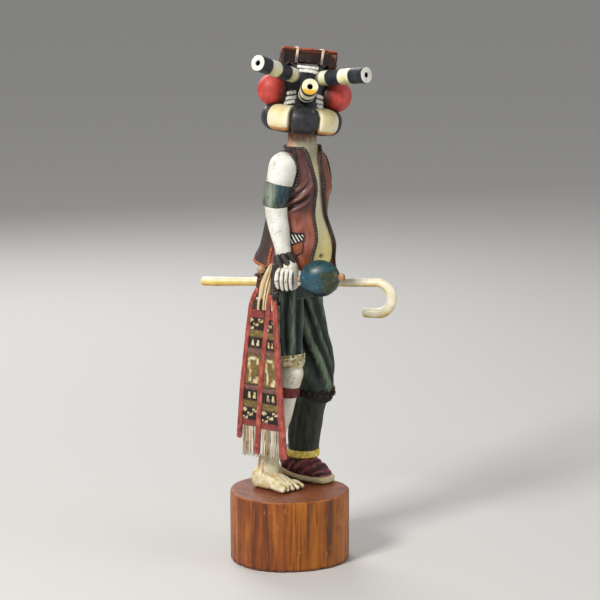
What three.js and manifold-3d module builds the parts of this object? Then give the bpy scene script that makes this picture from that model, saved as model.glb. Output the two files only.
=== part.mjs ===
// A carved and painted kachina doll on a wood block, in millimetres with +Z up.
// The origin is the centre of the block's underside. The body faces -Y and its right side is -X.
import * as THREE from "three";
import { mergeVertices } from "three/addons/utils/BufferGeometryUtils.js";
import Module from "manifold-3d";

const wasm = await Module();
wasm.setup();

// Fits
const clearance = 0.3; // between pieces that touch

// Block under the feet
const blockRadius = 36;
const blockHeight = 46.5;
const blockEdge = 0.9; // worn edge
const blockOval = 0.08; // how far the trunk is from round, as a share of its radius
const blockFlat = 0.025; // the flatter front right side

// Figure, sole to the top of the helmet, drawn 272 units tall
const figureHeight = 272;
const unitsTall = 272;
const standSide = 10.7; // the figure's middle line, from the middle of the block
const standForward = 1.2;
const vestThickness = 1.5;

// Helmet, the ring below it and what is set into it
const helmetRadius = 13.4;
const helmetRise = 34.5; // from the middle of the ring to the helmet's flat top
const helmetYaw = 51; // degrees towards the figure's right
const helmetPitch = 3; // degrees, face up
const helmetRoll = 6.5; // degrees, top towards the helmet's own left
const ruffRadius = 17; // to the middle of the roll
const ruffRoll = 8.6; // radius of the roll
const ruffSegments = 8;
const ruffCrease = 0.9; // depth of the crease between two segments
const seatDepth = 2.5; // how far the tubes sink into the helmet

const eyeTubeLength = 41.5;
const eyeTubeEnd = 5.2; // radius at the open end
const eyeTubeRoot = 4.6; // radius at the helmet
const eyeTubeSpread = 40.5; // degrees each side of straight ahead
const eyeTubeRise = 8; // degrees above the helmet's own level
const eyeTubeHeight = 25.3; // where the axis crosses the helmet's axis, above the ring
const mouthTubeLength = 28.5;
const mouthTubeRadius = 5.3;
const mouthTubeRise = 15;
const mouthTubeHeight = 11.6;
const tubeBore = 1.7; // radius of the drilled end
const tubeBoreDepth = 9;

const earRadius = 9.4;
const earReach = 9.8; // half the ear's size away from the helmet
const earOut = 20.2; // ear centre from the helmet's axis
const earHeight = 17.5;

// Bark bundle on top
const barkWidth = 35;
const barkDepth = 21;
const barkThickness = 9.8;
const barkTieOffset = 8;
const barkTieWidth = 2.6;
const barkTieProud = 0.7;

// Cane through the left fist
const caneRadius = 2.8;
const caneRearRadius = 3.1;
const caneBehindHand = 88;
const caneAheadOfHand = 36;
const caneHookRadius = 10.1; // to the middle of the rod
const caneHookThick = 3.4; // radius of the rod in the bend
const caneHookEnd = 10; // straight length after the bend
const caneTurn = 15; // degrees, front end towards the figure's left
const caneRise = 3; // degrees, front end up

// Gourd rattle through the right fist
const gourdAlong = 13;
const gourdTall = 11.6;
const gourdThick = 8.2;
const gourdFromHand = 20.2; // centre of the gourd from the middle of the fist
const handleRadius = 2.2;
const handleBehindHand = 10;
const handleNub = 3.4; // past the gourd
const handleTurn = 18; // degrees towards the figure's left
const handleRise = 5;

// The drawing of the figure
const unit = figureHeight / unitsTall;
const soleHeight = blockHeight + clearance;
const deg = THREE.MathUtils.degToRad;

// A place on the figure: sideways to its left, forward, and up from the soles.
function at(side, forward, up) {
  return new THREE.Vector3(
    standSide + side * unit,
    -standForward - forward * unit,
    soleHeight + up * unit,
  );
}

// A direction turned to the figure's left by turn degrees and lifted by rise degrees.
function heading(turn, rise) {
  const flat = Math.cos(deg(rise));
  return new THREE.Vector3(
    Math.sin(deg(turn)) * flat,
    -Math.cos(deg(turn)) * flat,
    Math.sin(deg(rise)),
  );
}

// Points of a rounded section: power 2 is an ellipse, more is squarer.
function sectionRing(centre, across, ahead, a, b, power, sides) {
  const ring = [];
  for (let i = 0; i < sides; i += 1) {
    const angle = (2 * Math.PI * i) / sides;
    const c = Math.cos(angle);
    const s = Math.sin(angle);
    const x = Math.sign(c) * Math.abs(c) ** (2 / power) * a;
    const y = Math.sign(s) * Math.abs(s) ** (2 / power) * b;
    ring.push(centre.clone().addScaledVector(across, x).addScaledVector(ahead, y));
  }
  return ring;
}

// A closed body through a row of rings, each end closed by a fan.
function skin(rings) {
  const sides = rings[0].length;
  const points = rings.flat();
  const faces = [];
  for (let r = 0; r + 1 < rings.length; r += 1) {
    for (let i = 0; i < sides; i += 1) {
      const j = (i + 1) % sides;
      const a = r * sides + i;
      const b = r * sides + j;
      faces.push(a, b, b + sides, a, b + sides, a + sides);
    }
  }
  for (const [ring, start, front] of [
    [rings[0], 0, false],
    [rings[rings.length - 1], (rings.length - 1) * sides, true],
  ]) {
    const middle = new THREE.Vector3();
    ring.forEach((p) => middle.addScaledVector(p, 1 / sides));
    points.push(middle);
    const hub = points.length - 1;
    for (let i = 0; i < sides; i += 1) {
      const j = (i + 1) % sides;
      if (front) faces.push(start + i, start + j, hub);
      else faces.push(start + j, start + i, hub);
    }
  }
  let volume = 0;
  for (let i = 0; i < faces.length; i += 3) {
    const [a, b, c] = [points[faces[i]], points[faces[i + 1]], points[faces[i + 2]]];
    volume += a.dot(b.clone().cross(c));
  }
  if (volume < 0) faces.reverse();
  const geometry = new THREE.BufferGeometry();
  geometry.setAttribute("position", new THREE.Float32BufferAttribute(points.flatMap((p) => p.toArray()), 3));
  geometry.setIndex(faces);
  return geometry;
}

// A limb through stations [place, half width, half depth, power], smoothed between them.
function limb(stations, sides, stepsPerSpan = 1) {
  const path = new THREE.CatmullRomCurve3(stations.map((s) => s[0]), false, "centripetal");
  const spans = stations.length - 1;
  const total = spans * stepsPerSpan;
  const rings = [];
  for (let i = 0; i <= total; i += 1) {
    const t = i / total;
    const k = Math.min(Math.floor(t * spans), spans - 1);
    const f = t * spans - k;
    const ease = f * f * (3 - 2 * f);
    const [, a0, b0, n0] = stations[k];
    const [, a1, b1, n1] = stations[k + 1];
    const tangent = path.getTangent(Math.min(Math.max(t, 0.001), 0.999));
    const across = new THREE.Vector3(1, 0, 0);
    across.addScaledVector(tangent, -across.dot(tangent)).normalize();
    const ahead = tangent.clone().cross(across);
    rings.push(
      sectionRing(
        path.getPoint(t),
        across,
        ahead,
        THREE.MathUtils.lerp(a0, a1, ease) * unit,
        THREE.MathUtils.lerp(b0, b1, ease) * unit,
        THREE.MathUtils.lerp(n0 ?? 2, n1 ?? 2, ease),
        sides,
      ),
    );
  }
  return solidOf(skin(rings));
}

// Upright body through level sections [up, side, forward, half width, half depth, tilt].
// tilt lowers the front edge of the section, in units for each unit forward.
function trunk(sections, power, sides, grow = 0) {
  const rings = sections.map(([up, side, forward, a, b, tilt = 0]) => {
    const across = new THREE.Vector3(1, 0, 0);
    const ahead = new THREE.Vector3(0, -1, -tilt);
    return sectionRing(at(side, forward, up), across, ahead, a * unit + grow, b * unit + grow, power, sides);
  });
  return solidOf(skin(rings));
}

function ball(centre, radii, across = 14, around = 10) {
  const geometry = new THREE.SphereGeometry(1, across, around);
  geometry.scale(radii.x, radii.y, radii.z);
  geometry.translate(centre.x, centre.y, centre.z);
  return solidOf(geometry);
}

// A closed geometry, with any matrix applied, as a solid that can be joined and cut.
function solidOf(geometry, matrix) {
  const plain = new THREE.BufferGeometry();
  plain.setAttribute("position", geometry.getAttribute("position").clone());
  if (geometry.index) plain.setIndex(geometry.index.clone());
  if (matrix) plain.applyMatrix4(matrix);
  const merged = mergeVertices(plain, 1e-4);
  return new wasm.Manifold(
    new wasm.Mesh({
      numProp: 3,
      vertProperties: merged.getAttribute("position").array,
      triVerts: new Uint32Array(merged.index.array),
    }),
  );
}

function geometryOf(solid) {
  const mesh = solid.getMesh();
  const geometry = new THREE.BufferGeometry();
  geometry.setAttribute("position", new THREE.Float32BufferAttribute(mesh.vertProperties, 3));
  geometry.setIndex(new THREE.Uint32BufferAttribute(mesh.triVerts, 1));
  geometry.computeVertexNormals();
  return geometry;
}

function joined(solids) {
  return solids.reduce((whole, next) => whole.add(next));
}

function piece(name, solid, colour, roughness) {
  const material = new THREE.MeshStandardMaterial({ color: colour, roughness, metalness: 0 });
  const mesh = new THREE.Mesh(geometryOf(solid), material);
  mesh.name = name;
  return mesh;
}

// Round bar from one point to another, with its own radius at each end.
function bar(from, to, radiusFrom, radiusTo, sides) {
  const along = to.clone().sub(from).normalize();
  const across = new THREE.Vector3(0, 0, 1).cross(along).normalize();
  const ahead = along.clone().cross(across);
  return solidOf(
    skin([
      sectionRing(from, across, ahead, radiusFrom, radiusFrom, 2, sides),
      sectionRing(to, across, ahead, radiusTo, radiusTo, 2, sides),
    ]),
  );
}

// Block: a slice of trunk, a little out of round
function block() {
  const outline = new THREE.Shape();
  const points = 36;
  for (let i = 0; i < points; i += 1) {
    const angle = (2 * Math.PI * i) / points;
    const oval = blockOval * Math.cos(2 * (angle + deg(58)));
    const flat = blockFlat * Math.cos(3 * (angle + deg(50)));
    const radius = (blockRadius - blockEdge) * (1 + oval + flat);
    const x = radius * Math.cos(angle);
    const y = radius * Math.sin(angle);
    if (i === 0) outline.moveTo(x, y);
    else outline.lineTo(x, y);
  }
  const geometry = new THREE.ExtrudeGeometry(outline, {
    depth: blockHeight - 2 * blockEdge,
    bevelEnabled: true,
    bevelThickness: blockEdge,
    bevelSize: blockEdge,
    bevelSegments: 1,
  });
  geometry.translate(0, 0, blockEdge);
  return solidOf(geometry);
}

// Helmet frame: its origin is the middle of the ring, its face looks along -Y, its left is +X
const neckTop = at(0, 1.6, 239.5);
const helmet = new THREE.Object3D();
helmet.position.copy(neckTop);
helmet.rotation.set(deg(-helmetPitch), deg(helmetRoll), deg(-helmetYaw), "ZYX");
helmet.updateMatrix();

function inHelmet(x, y, z) {
  return new THREE.Vector3(x, y, z).applyMatrix4(helmet.matrix);
}

function helmetShell() {
  const profile = [
    new THREE.Vector2(0, -ruffRoll),
    new THREE.Vector2(helmetRadius * 0.75, -ruffRoll),
    new THREE.Vector2(helmetRadius, -ruffRoll * 0.4),
    new THREE.Vector2(helmetRadius, helmetRise - 2),
    new THREE.Vector2(helmetRadius - 1.2, helmetRise),
    new THREE.Vector2(0, helmetRise),
  ];
  const geometry = new THREE.LatheGeometry(profile, 18);
  geometry.rotateX(Math.PI / 2);
  return solidOf(geometry, helmet.matrix);
}

// The ring round the neck: eight stuffed segments with a crease between them
function ruff() {
  const stepsPerSegment = 3;
  const steps = ruffSegments * stepsPerSegment;
  const sides = 8;
  const points = [];
  const faces = [];
  for (let i = 0; i < steps; i += 1) {
    const turn = (2 * Math.PI * i) / steps;
    const along = (i % stepsPerSegment) / stepsPerSegment;
    const swell = Math.sin(Math.PI * along) ** 0.6;
    const roll = ruffRoll - ruffCrease * (1 - swell);
    for (let j = 0; j < sides; j += 1) {
      const angle = (2 * Math.PI * j) / sides;
      const out = ruffRadius + roll * Math.cos(angle);
      // Segment 0 is centred on the face.
      const around = turn - Math.PI / 2 - Math.PI / ruffSegments;
      points.push(inHelmet(out * Math.cos(around), out * Math.sin(around), roll * Math.sin(angle)));
    }
  }
  for (let i = 0; i < steps; i += 1) {
    for (let j = 0; j < sides; j += 1) {
      const nextRing = ((i + 1) % steps) * sides;
      const nextSide = (j + 1) % sides;
      const a = i * sides + j;
      const b = nextRing + j;
      const c = nextRing + nextSide;
      const d = i * sides + nextSide;
      faces.push(a, b, c, a, c, d);
    }
  }
  const geometry = new THREE.BufferGeometry();
  geometry.setAttribute("position", new THREE.Float32BufferAttribute(points.flatMap((p) => p.toArray()), 3));
  geometry.setIndex(faces);
  return solidOf(geometry);
}

// Where each tube's axis starts and where it points, in the helmet's frame
const tubePlaces = {
  eye_tube_right: eyeTubePlace(-eyeTubeSpread),
  eye_tube_left: eyeTubePlace(eyeTubeSpread),
  mouth_tube: {
    turn: 0,
    rise: mouthTubeRise,
    height: mouthTubeHeight,
    length: mouthTubeLength,
    end: mouthTubeRadius,
    root: mouthTubeRadius,
  },
};

function eyeTubePlace(turn) {
  return {
    turn,
    rise: eyeTubeRise,
    height: eyeTubeHeight,
    length: eyeTubeLength,
    end: eyeTubeEnd,
    root: eyeTubeRoot,
  };
}

function tubeAxis({ turn, rise, height }) {
  const direction = heading(turn, rise);
  return (distance) => inHelmet(direction.x * distance, direction.y * distance, height + direction.z * distance);
}

function tube(place) {
  const axis = tubeAxis(place);
  const seat = helmetRadius - seatDepth;
  const body = bar(axis(seat), axis(seat + place.length), place.root, place.end, 20);
  const end = seat + place.length;
  const bore = bar(axis(end - tubeBoreDepth), axis(end + 1), tubeBore, tubeBore, 12);
  return body.subtract(bore);
}

// The hole that a tube is set into
function tubeSeat(place) {
  const axis = tubeAxis(place);
  const seat = helmetRadius - seatDepth;
  return bar(
    axis(seat - clearance),
    axis(seat + place.length),
    place.root + clearance,
    place.end + clearance,
    20,
  );
}

// Ear: a round pad whose inner side is cut to the helmet
function ear(side) {
  const geometry = new THREE.SphereGeometry(1, 16, 10);
  geometry.scale(earReach, earRadius, earRadius);
  geometry.translate(side * earOut, 0, earHeight);
  const cut = new THREE.LatheGeometry(
    [
      new THREE.Vector2(0, -helmetRise),
      new THREE.Vector2(helmetRadius + clearance, -helmetRise),
      new THREE.Vector2(helmetRadius + clearance, 2 * helmetRise),
      new THREE.Vector2(0, 2 * helmetRise),
    ],
    18,
  );
  cut.rotateX(Math.PI / 2);
  return solidOf(geometry, helmet.matrix)
    .subtract(solidOf(cut, helmet.matrix))
    .subtract(ruffClear);
}

// Bark bundle: a flat slab of strips, lofted from end to end, with a proud band for each tie
function barkBundle() {
  const half = barkWidth / 2;
  const edge = 1;
  const stations = [
    [-half, -edge],
    [-half + edge, 0],
  ];
  for (const middle of [-barkTieOffset, barkTieOffset]) {
    stations.push(
      [middle - barkTieWidth / 2, 0],
      [middle - barkTieWidth / 2 + 0.3, barkTieProud],
      [middle + barkTieWidth / 2 - 0.3, barkTieProud],
      [middle + barkTieWidth / 2, 0],
    );
  }
  stations.push([half - edge, 0], [half, -edge]);
  const middle = helmetRise + clearance + barkTieProud + barkThickness / 2;
  const rings = stations.map(([x, grow]) =>
    sectionRing(
      new THREE.Vector3(x, 0, middle),
      new THREE.Vector3(0, 1, 0),
      new THREE.Vector3(0, 0, 1),
      barkDepth / 2 + grow,
      barkThickness / 2 + grow,
      7,
      16,
    ),
  );
  return solidOf(skin(rings), helmet.matrix);
}

// Body
const chestSections = [
  [126, 0, -6, 19, 17],
  [136, 0, -5.5, 20.5, 19],
  [146, 0, -4, 21, 21],
  [152, 0, -3, 21.5, 22],
  [160, 0, -0.9, 20.5, 20.8],
  [168, 0, -0.9, 19.5, 18.5],
  [178, 0, -1.5, 18.6, 15.6],
  [188, 0, -0.6, 18.6, 15.4],
  [198, 0, 0.6, 19.4, 15.4],
  [207, 0, 0.8, 19.6, 13.2],
  [214, 0, 1, 18, 11],
  [219.5, 0, 1.6, 12.4, 9.6],
  [224, 0, 2.2, 9.2, 8.8],
  [234, 0, 2, 8.6, 8.6],
];
const bodyPower = 2.5;

// Open front of the vest: [up, side of its right edge, side of its left edge]
const vestOpening = [
  [136, -15, 15],
  [146, -14, 14],
  [158, -12, 12],
  [166, -8.5, 8],
  [176, -6, 3.5],
  [196, -5.4, 2.5],
  [206, -5.8, 3],
  [215, -6.6, 4],
  [224, -9, 11],
];

function vest() {
  const hemUp = 145;
  const hemDrop = 0.16; // the hem runs down to the front
  const sections = chestSections
    .filter(([up]) => up > hemUp + 3 && up < 222)
    .map((s) => [...s]);
  const hemForward = -3.6;
  sections.unshift(
    [hemUp, 0, hemForward, 23.2, 23.6, hemDrop],
    [hemUp + 1.6, 0, hemForward, 23.4, 23.8, hemDrop],
  );
  const shell = trunk(sections, bodyPower, 18, vestThickness);
  const outline = new THREE.Shape();
  const edge = (column) =>
    vestOpening.map((row) => new THREE.Vector2(row[column] * unit, soleHeight + row[0] * unit));
  outline.setFromPoints([...edge(2), ...edge(1).reverse()]);
  const wedge = new THREE.ExtrudeGeometry(outline, { depth: 60 * unit, bevelEnabled: false });
  wedge.rotateX(Math.PI / 2);
  wedge.translate(standSide, -standForward, 0);
  return shell.subtract(solidOf(wedge));
}

function arm(side, shoulder, elbow, wrist) {
  const upper = limb(
    [
      [shoulder.clone().add(new THREE.Vector3(-side * 5 * unit, 0, 3 * unit)), 7, 7],
      [shoulder, 8.8, 9],
      [shoulder.clone().lerp(elbow, 0.5), 7.8, 8.5],
      [elbow.clone().lerp(shoulder, 0.2), 7, 7.3],
      [elbow.clone().lerp(wrist, 0.2), 6.8, 6.8],
      [elbow.clone().lerp(wrist, 0.5), 6.4, 6.2],
      [elbow.clone().lerp(wrist, 0.8), 5.2, 5],
      [wrist, 5, 4.8],
    ],
    10,
  );
  const bandTop = shoulder.clone().lerp(elbow, 0.42);
  const bandEnd = shoulder.clone().lerp(elbow, 1.02);
  const armband = limb(
    [
      [bandTop, 8.7, 9.4],
      [bandEnd, 7.7, 8],
    ],
    12,
  );
  return upper.add(armband);
}

// Fist: a palm round the thing it holds and four fingers curled down over it
function fist(side, wrist, centre, grip, turn) {
  const ahead = heading(turn, 0);
  const down = (units) => new THREE.Vector3(0, 0, -units * unit);
  const palm = limb(
    [
      [wrist, 5, 4.8],
      [centre.clone().add(down(-7)), 6, 5.6],
      [centre.clone(), 5.8, 6, 2.6],
      [centre.clone().add(down(4.6)), 4.6, 5.6, 2.6],
      [centre.clone().add(down(6)), 3, 4.6],
    ],
    10,
  );
  const fingers = [];
  for (let i = 0; i < 4; i += 1) {
    const root = centre.clone().addScaledVector(ahead, (i - 1.5) * 2.9 * unit);
    const out = new THREE.Vector3(side * unit, 0, 0);
    fingers.push(
      limb(
        [
          [root.clone().addScaledVector(out, 4).add(down(-5)), 1.5, 1.5],
          [root.clone().addScaledVector(out, 6).add(down(-1)), 1.9, 1.6],
          [root.clone().addScaledVector(out, 5.2).add(down(4)), 1.7, 1.55],
          [root.clone().addScaledVector(out, 3.4).add(down(7.2)), 1, 1],
        ],
        6,
      ),
    );
  }
  const reach = 12 * unit;
  const from = centre.clone().addScaledVector(grip.direction, -reach);
  const to = centre.clone().addScaledVector(grip.direction, reach);
  const bore = bar(from, to, grip.radius + clearance, grip.radius + clearance, 12);
  return { solid: joined([palm, ...fingers]), bore };
}

function legs() {
  const right = limb(
    [
      [at(-8, -6, 140), 12, 13],
      [at(-10.5, -5.2, 122), 12.3, 13.2],
      [at(-12, -3.6, 100), 11.6, 12],
      [at(-12.8, -1.2, 84), 11.4, 11.2],
      [at(-12.9, -0.6, 80), 11.2, 11],
    ],
    14,
  );
  const shin = limb(
    [
      [at(-12.8, 0, 86), 8, 8],
      [at(-13, 1, 76), 8, 8.3],
      [at(-13, -1.3, 65), 7.2, 7.3],
      [at(-13.5, -5.8, 50), 7.6, 8],
      [at(-14.4, -10.6, 32), 6.2, 6.6],
      [at(-15, -13.2, 17), 5.6, 6.2],
      [at(-15.6, -13, 8), 6, 6.6],
    ],
    12,
  );
  const garterRight = limb(
    [
      [at(-13, -0.6, 69.4), 8, 8.2],
      [at(-13, -1.8, 63.2), 8, 8.2],
    ],
    12,
  );
  const left = limb(
    [
      [at(8, -6.4, 140), 12, 13],
      [at(10.5, -5.6, 122), 12.3, 13.2],
      [at(12.2, -1.4, 96), 12.3, 12.4],
      [at(13, 3.6, 76), 12.2, 11.8],
      [at(13, 3.2, 64), 12.2, 11.6],
      [at(13, -1, 54), 11.4, 10.8],
      [at(13, -4.6, 36), 11.2, 10.8],
      [at(13, -6, 17), 10.3, 10.1],
    ],
    14,
  );
  const garterLeft = limb(
    [
      [at(13, 3.4, 64), 12.4, 12],
      [at(13, 3, 61), 13.8, 13.4],
      [at(13, 1.6, 57.6), 12.4, 12],
    ],
    14,
  );
  return [right, shin, garterRight, left, garterLeft];
}

// What is below the soles, which are cut flat
function ground() {
  const half = 60 * unit;
  const slab = new THREE.BoxGeometry(2 * half, 2 * half, half);
  slab.translate(standSide, -standForward, soleHeight - half / 2);
  return solidOf(slab);
}

// Bare right foot: wedge shaped, with five toes
function bareFoot() {
  const sole = limb(
    [
      [at(-17.6, -23.6, 4.6), 3, 3],
      [at(-17.4, -21.8, 5.2), 5.6, 6, 2.6],
      [at(-16.8, -16, 6), 6.6, 7, 2.6],
      [at(-16, -8, 4.6), 7.2, 6, 2.6],
      [at(-15.6, -1, 2.6), 9, 4, 2.8],
      [at(-15.4, 4, 1.4), 9.6, 3, 2.6],
    ],
    12,
  );
  const toes = [];
  const toeHalf = [1.8, 1.8, 1.9, 2, 2.6];
  const toeTip = [4, 6, 7.4, 8.6, 9.6];
  for (let i = 0; i < 5; i += 1) {
    const side = -23.4 + i * 4.05;
    const half = toeHalf[i];
    const tip = toeTip[i];
    toes.push(
      limb(
        [
          [at(side + 0.2, tip - 8, half + 0.2), half, half],
          [at(side, tip - 2, half * 0.8), half, half],
          [at(side, tip, half * 0.6), half * 0.55, half * 0.6],
        ],
        6,
      ),
    );
  }
  return joined([sole, ...toes]).subtract(ground());
}

// Left foot in a soft shoe, its heel a little off the block
function shoe() {
  const upper = limb(
    [
      [at(13.4, -22.6, 12), 4, 5],
      [at(13.6, -19, 12.6), 8, 8.6, 2.4],
      [at(14, -10, 11), 9.2, 9.6, 2.4],
      [at(15.2, 0, 7.6), 9.2, 6.6, 2.4],
      [at(16.4, 8, 4.8), 7.4, 4.2, 2.4],
      [at(17.2, 12.8, 3.2), 3.4, 2.4],
    ],
    12,
  );
  const sole = limb(
    [
      [at(13.2, -24.4, 5.6), 5, 1.6, 4],
      [at(13.4, -20, 4.6), 8.8, 2.2, 4],
      [at(13.8, -10, 2.8), 10, 2.4, 4],
      [at(15, 1, 1.2), 10.4, 2.4, 4],
      [at(16.2, 9, 1), 8.8, 2.4, 4],
      [at(17.2, 14, 1.2), 4.4, 2, 3],
    ],
    12,
  );
  return upper.add(sole).subtract(ground());
}

// Woven sash over the right hip: a gathered top and two long panels with a raised middle edge
function sash() {
  const rear = limb(
    [
      [at(-26.4, -14.2, 122), 2.2, 4.8, 4],
      [at(-26.6, -15.8, 100), 2.2, 6, 4],
      [at(-26.2, -18.6, 66), 2.2, 7, 4],
      [at(-25.6, -21, 24), 2, 7.6, 4],
    ],
    8,
  );
  const front = limb(
    [
      [at(-29, -1.2, 122), 2.3, 6.6, 4],
      [at(-29.6, -0.8, 100), 2.3, 7.8, 4],
      [at(-29.4, -0.8, 66), 2.2, 9.2, 4],
      [at(-28.4, -1, 26), 2, 11, 4],
    ],
    8,
  );
  const gather = limb(
    [
      [at(-24.6, -4.4, 147), 3, 2.4],
      [at(-26.4, -6, 138), 4.4, 6.4, 2.4],
      [at(-27.2, -7.6, 126), 4.4, 11, 2.6],
      [at(-27.6, -8, 115), 3.4, 13.4, 3],
      [at(-27.6, -8.4, 106), 2.2, 11.4, 3],
    ],
    12,
  );
  const tassel = limb(
    [
      [at(-30.2, -0.6, 147), 1.6, 1.6],
      [at(-31.4, 0.6, 142), 2.6, 2.8],
      [at(-31.8, 1.6, 131), 2.6, 2.9],
      [at(-31.8, 2.6, 124), 2, 2.2],
    ],
    8,
  );
  const knob = ball(at(-29.4, -12.6, 143.6), new THREE.Vector3(3.4, 3.8, 2.6).multiplyScalar(unit), 10, 6);
  const fold = limb(
    [
      [at(-24, -12, 146), 4, 4.4],
      [at(-27, -12.8, 141.6), 4.4, 5],
      [at(-26.4, -14.6, 132), 4, 4.4],
    ],
    12,
  );
  return joined([rear, front, gather, tassel, knob, fold]);
}

// Where the two hands hold
const shoulderRight = at(-22, 2.6, 211);
const elbowRight = at(-25, -1.6, 187);
const wristRight = at(-26, 6.4, 156);
const handRight = at(-26, 10.2, 141.3);
const shoulderLeft = at(21, -3.6, 209);
const elbowLeft = at(27.5, -6, 183);
const wristLeft = at(29, -2.6, 146);
const handLeft = at(30, -0.6, 130.4);
const caneDirection = heading(caneTurn, caneRise);
const handleDirection = heading(handleTurn, handleRise);

function figure(rightGrip, leftGrip) {
  const whole = joined([
    trunk(chestSections, bodyPower, 18),
    vest(),
    arm(-1, shoulderRight, elbowRight, wristRight),
    arm(1, shoulderLeft, elbowLeft, wristLeft),
    rightGrip.solid,
    leftGrip.solid,
    ...legs(),
    bareFoot(),
    shoe(),
    sash(),
    helmetShell(),
    ruff(),
  ]);
  const seats = Object.values(tubePlaces).map(tubeSeat);
  return [rightGrip.bore, leftGrip.bore, ...seats].reduce((body, hole) => body.subtract(hole), whole);
}

// Cane: a rod through the left fist, ending in a hook that turns down
function cane() {
  const along = caneDirection;
  const level = along.clone().setZ(0).normalize();
  const down = new THREE.Vector3(0, 0, -1);
  const route = [];
  const place = (distance) => handLeft.clone().addScaledVector(along, distance);
  for (const [distance, radius] of [
    [-caneBehindHand, caneRearRadius * 0.5],
    [-caneBehindHand + 1, caneRearRadius * 0.9],
    [-caneBehindHand + 3, caneRearRadius],
    [-caneBehindHand * 0.6, caneRadius],
    [0, caneRadius],
    [caneAheadOfHand, caneRadius],
  ]) {
    route.push([place(distance), radius]);
  }
  const hookTop = place(caneAheadOfHand);
  const hookMiddle = hookTop.clone().addScaledVector(down, caneHookRadius);
  const bendSteps = 12;
  for (let i = 1; i <= bendSteps; i += 1) {
    const angle = (Math.PI * i) / bendSteps;
    const point = hookMiddle
      .clone()
      .addScaledVector(level, Math.sin(angle) * caneHookRadius)
      .addScaledVector(down, -Math.cos(angle) * caneHookRadius);
    const swell = Math.sin(Math.min(angle * 1.2, Math.PI / 2));
    route.push([point, THREE.MathUtils.lerp(caneRadius, caneHookThick, swell)]);
  }
  const bendEnd = route[route.length - 1][0];
  for (const [distance, share] of [
    [caneHookEnd - 2, 0.95],
    [caneHookEnd - 0.6, 0.75],
    [caneHookEnd, 0.4],
  ]) {
    route.push([bendEnd.clone().addScaledVector(level, -distance), caneHookThick * share]);
  }
  const across = level.clone().cross(down).normalize();
  const rings = route.map(([point, radius], i) => {
    const before = route[Math.max(i - 1, 0)][0];
    const after = route[Math.min(i + 1, route.length - 1)][0];
    const tangent = after.clone().sub(before).normalize();
    return sectionRing(point, across, tangent.clone().cross(across), radius, radius, 2, 10);
  });
  return solidOf(skin(rings));
}

// Rattle: a thick disc of gourd on a turned handle
function rattle() {
  const along = handleDirection;
  const across = new THREE.Vector3(0, 0, 1).cross(along).normalize();
  const up = along.clone().cross(across).normalize();
  const frame = new THREE.Matrix4().makeBasis(along, across, up);
  frame.setPosition(handRight.clone().addScaledVector(along, gourdFromHand));
  const disc = new THREE.SphereGeometry(1, 18, 10);
  disc.scale(gourdAlong, gourdThick, gourdTall);
  const gourd = solidOf(disc, frame);
  const place = (distance) => handRight.clone().addScaledVector(along, distance);
  const tip = gourdFromHand + gourdAlong;
  const handle = bar(place(-handleBehindHand), place(gourdFromHand), handleRadius, handleRadius, 12);
  const nub = bar(place(gourdFromHand), place(tip + handleNub), handleRadius * 1.1, handleRadius * 0.8, 12);
  return joined([gourd, handle, nub]);
}

const rightGrip = fist(-1, wristRight, handRight, { direction: handleDirection, radius: handleRadius }, handleTurn);
const leftGrip = fist(1, wristLeft, handLeft, { direction: caneDirection, radius: caneRadius }, 0);

// Space that the ears leave round the ring
const ruffClear = (() => {
  const torus = new THREE.TorusGeometry(ruffRadius, ruffRoll + clearance, 10, 24);
  return solidOf(torus, helmet.matrix);
})();

const doll = new THREE.Group();
doll.add(
  piece("base", block(), 0x8a4a22, 0.6),
  piece("figure", figure(rightGrip, leftGrip), 0xd8d0b8, 0.6),
  piece("ear_right", ear(-1), 0xa8382c, 0.65),
  piece("ear_left", ear(1), 0xa8382c, 0.65),
  piece("bark_crown", barkBundle(), 0x5a2a1a, 0.7),
  piece("cane", cane(), 0xe6dcc0, 0.5),
  piece("rattle", rattle(), 0x1f6b78, 0.45),
);
for (const [name, place] of Object.entries(tubePlaces)) {
  doll.add(piece(name, tube(place), 0xe8e4d6, 0.55));
}

export default doll;
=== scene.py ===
# A carved and painted kachina doll standing on a slice of trunk.
# Sizes are in millimetres and colours in 0 to 255, and both are changed where a mesh is made.
import math
import random

import bmesh
import bpy
import numpy as np
from mathutils import Matrix, Vector, noise


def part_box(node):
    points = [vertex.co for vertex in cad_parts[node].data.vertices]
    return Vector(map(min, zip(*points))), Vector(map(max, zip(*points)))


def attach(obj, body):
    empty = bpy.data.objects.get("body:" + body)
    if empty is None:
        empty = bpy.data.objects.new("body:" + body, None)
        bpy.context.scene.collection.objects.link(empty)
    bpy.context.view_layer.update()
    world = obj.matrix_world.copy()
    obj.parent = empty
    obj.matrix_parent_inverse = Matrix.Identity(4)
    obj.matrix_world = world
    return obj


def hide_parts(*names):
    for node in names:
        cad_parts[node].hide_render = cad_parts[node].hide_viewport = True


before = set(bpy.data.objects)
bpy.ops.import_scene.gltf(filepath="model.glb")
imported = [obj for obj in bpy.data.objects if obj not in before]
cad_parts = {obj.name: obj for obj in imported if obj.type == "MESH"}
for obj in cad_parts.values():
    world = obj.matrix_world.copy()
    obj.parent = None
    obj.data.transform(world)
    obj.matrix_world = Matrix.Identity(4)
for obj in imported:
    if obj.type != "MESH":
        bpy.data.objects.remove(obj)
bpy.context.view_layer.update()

# Camera, floor and lamps.
# The camera stands where the picture was taken from, on a long lens.
view_turn = math.radians(-55)
view_rise = math.radians(10.5)
view_distance = 1.28
view_back = Vector((
    math.sin(view_turn) * math.cos(view_rise),
    -math.cos(view_turn) * math.cos(view_rise),
    math.sin(view_rise),
))
view_target = Vector((0.00428, -0.0061, 0.1714))
camera = bpy.data.objects.new("camera", bpy.data.cameras.new("camera"))
camera.data.lens = 120
camera.data.sensor_width = 36
camera.location = view_target + view_back * view_distance
camera.rotation_euler = (-view_back).to_track_quat("-Z", "Y").to_euler()
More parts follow.
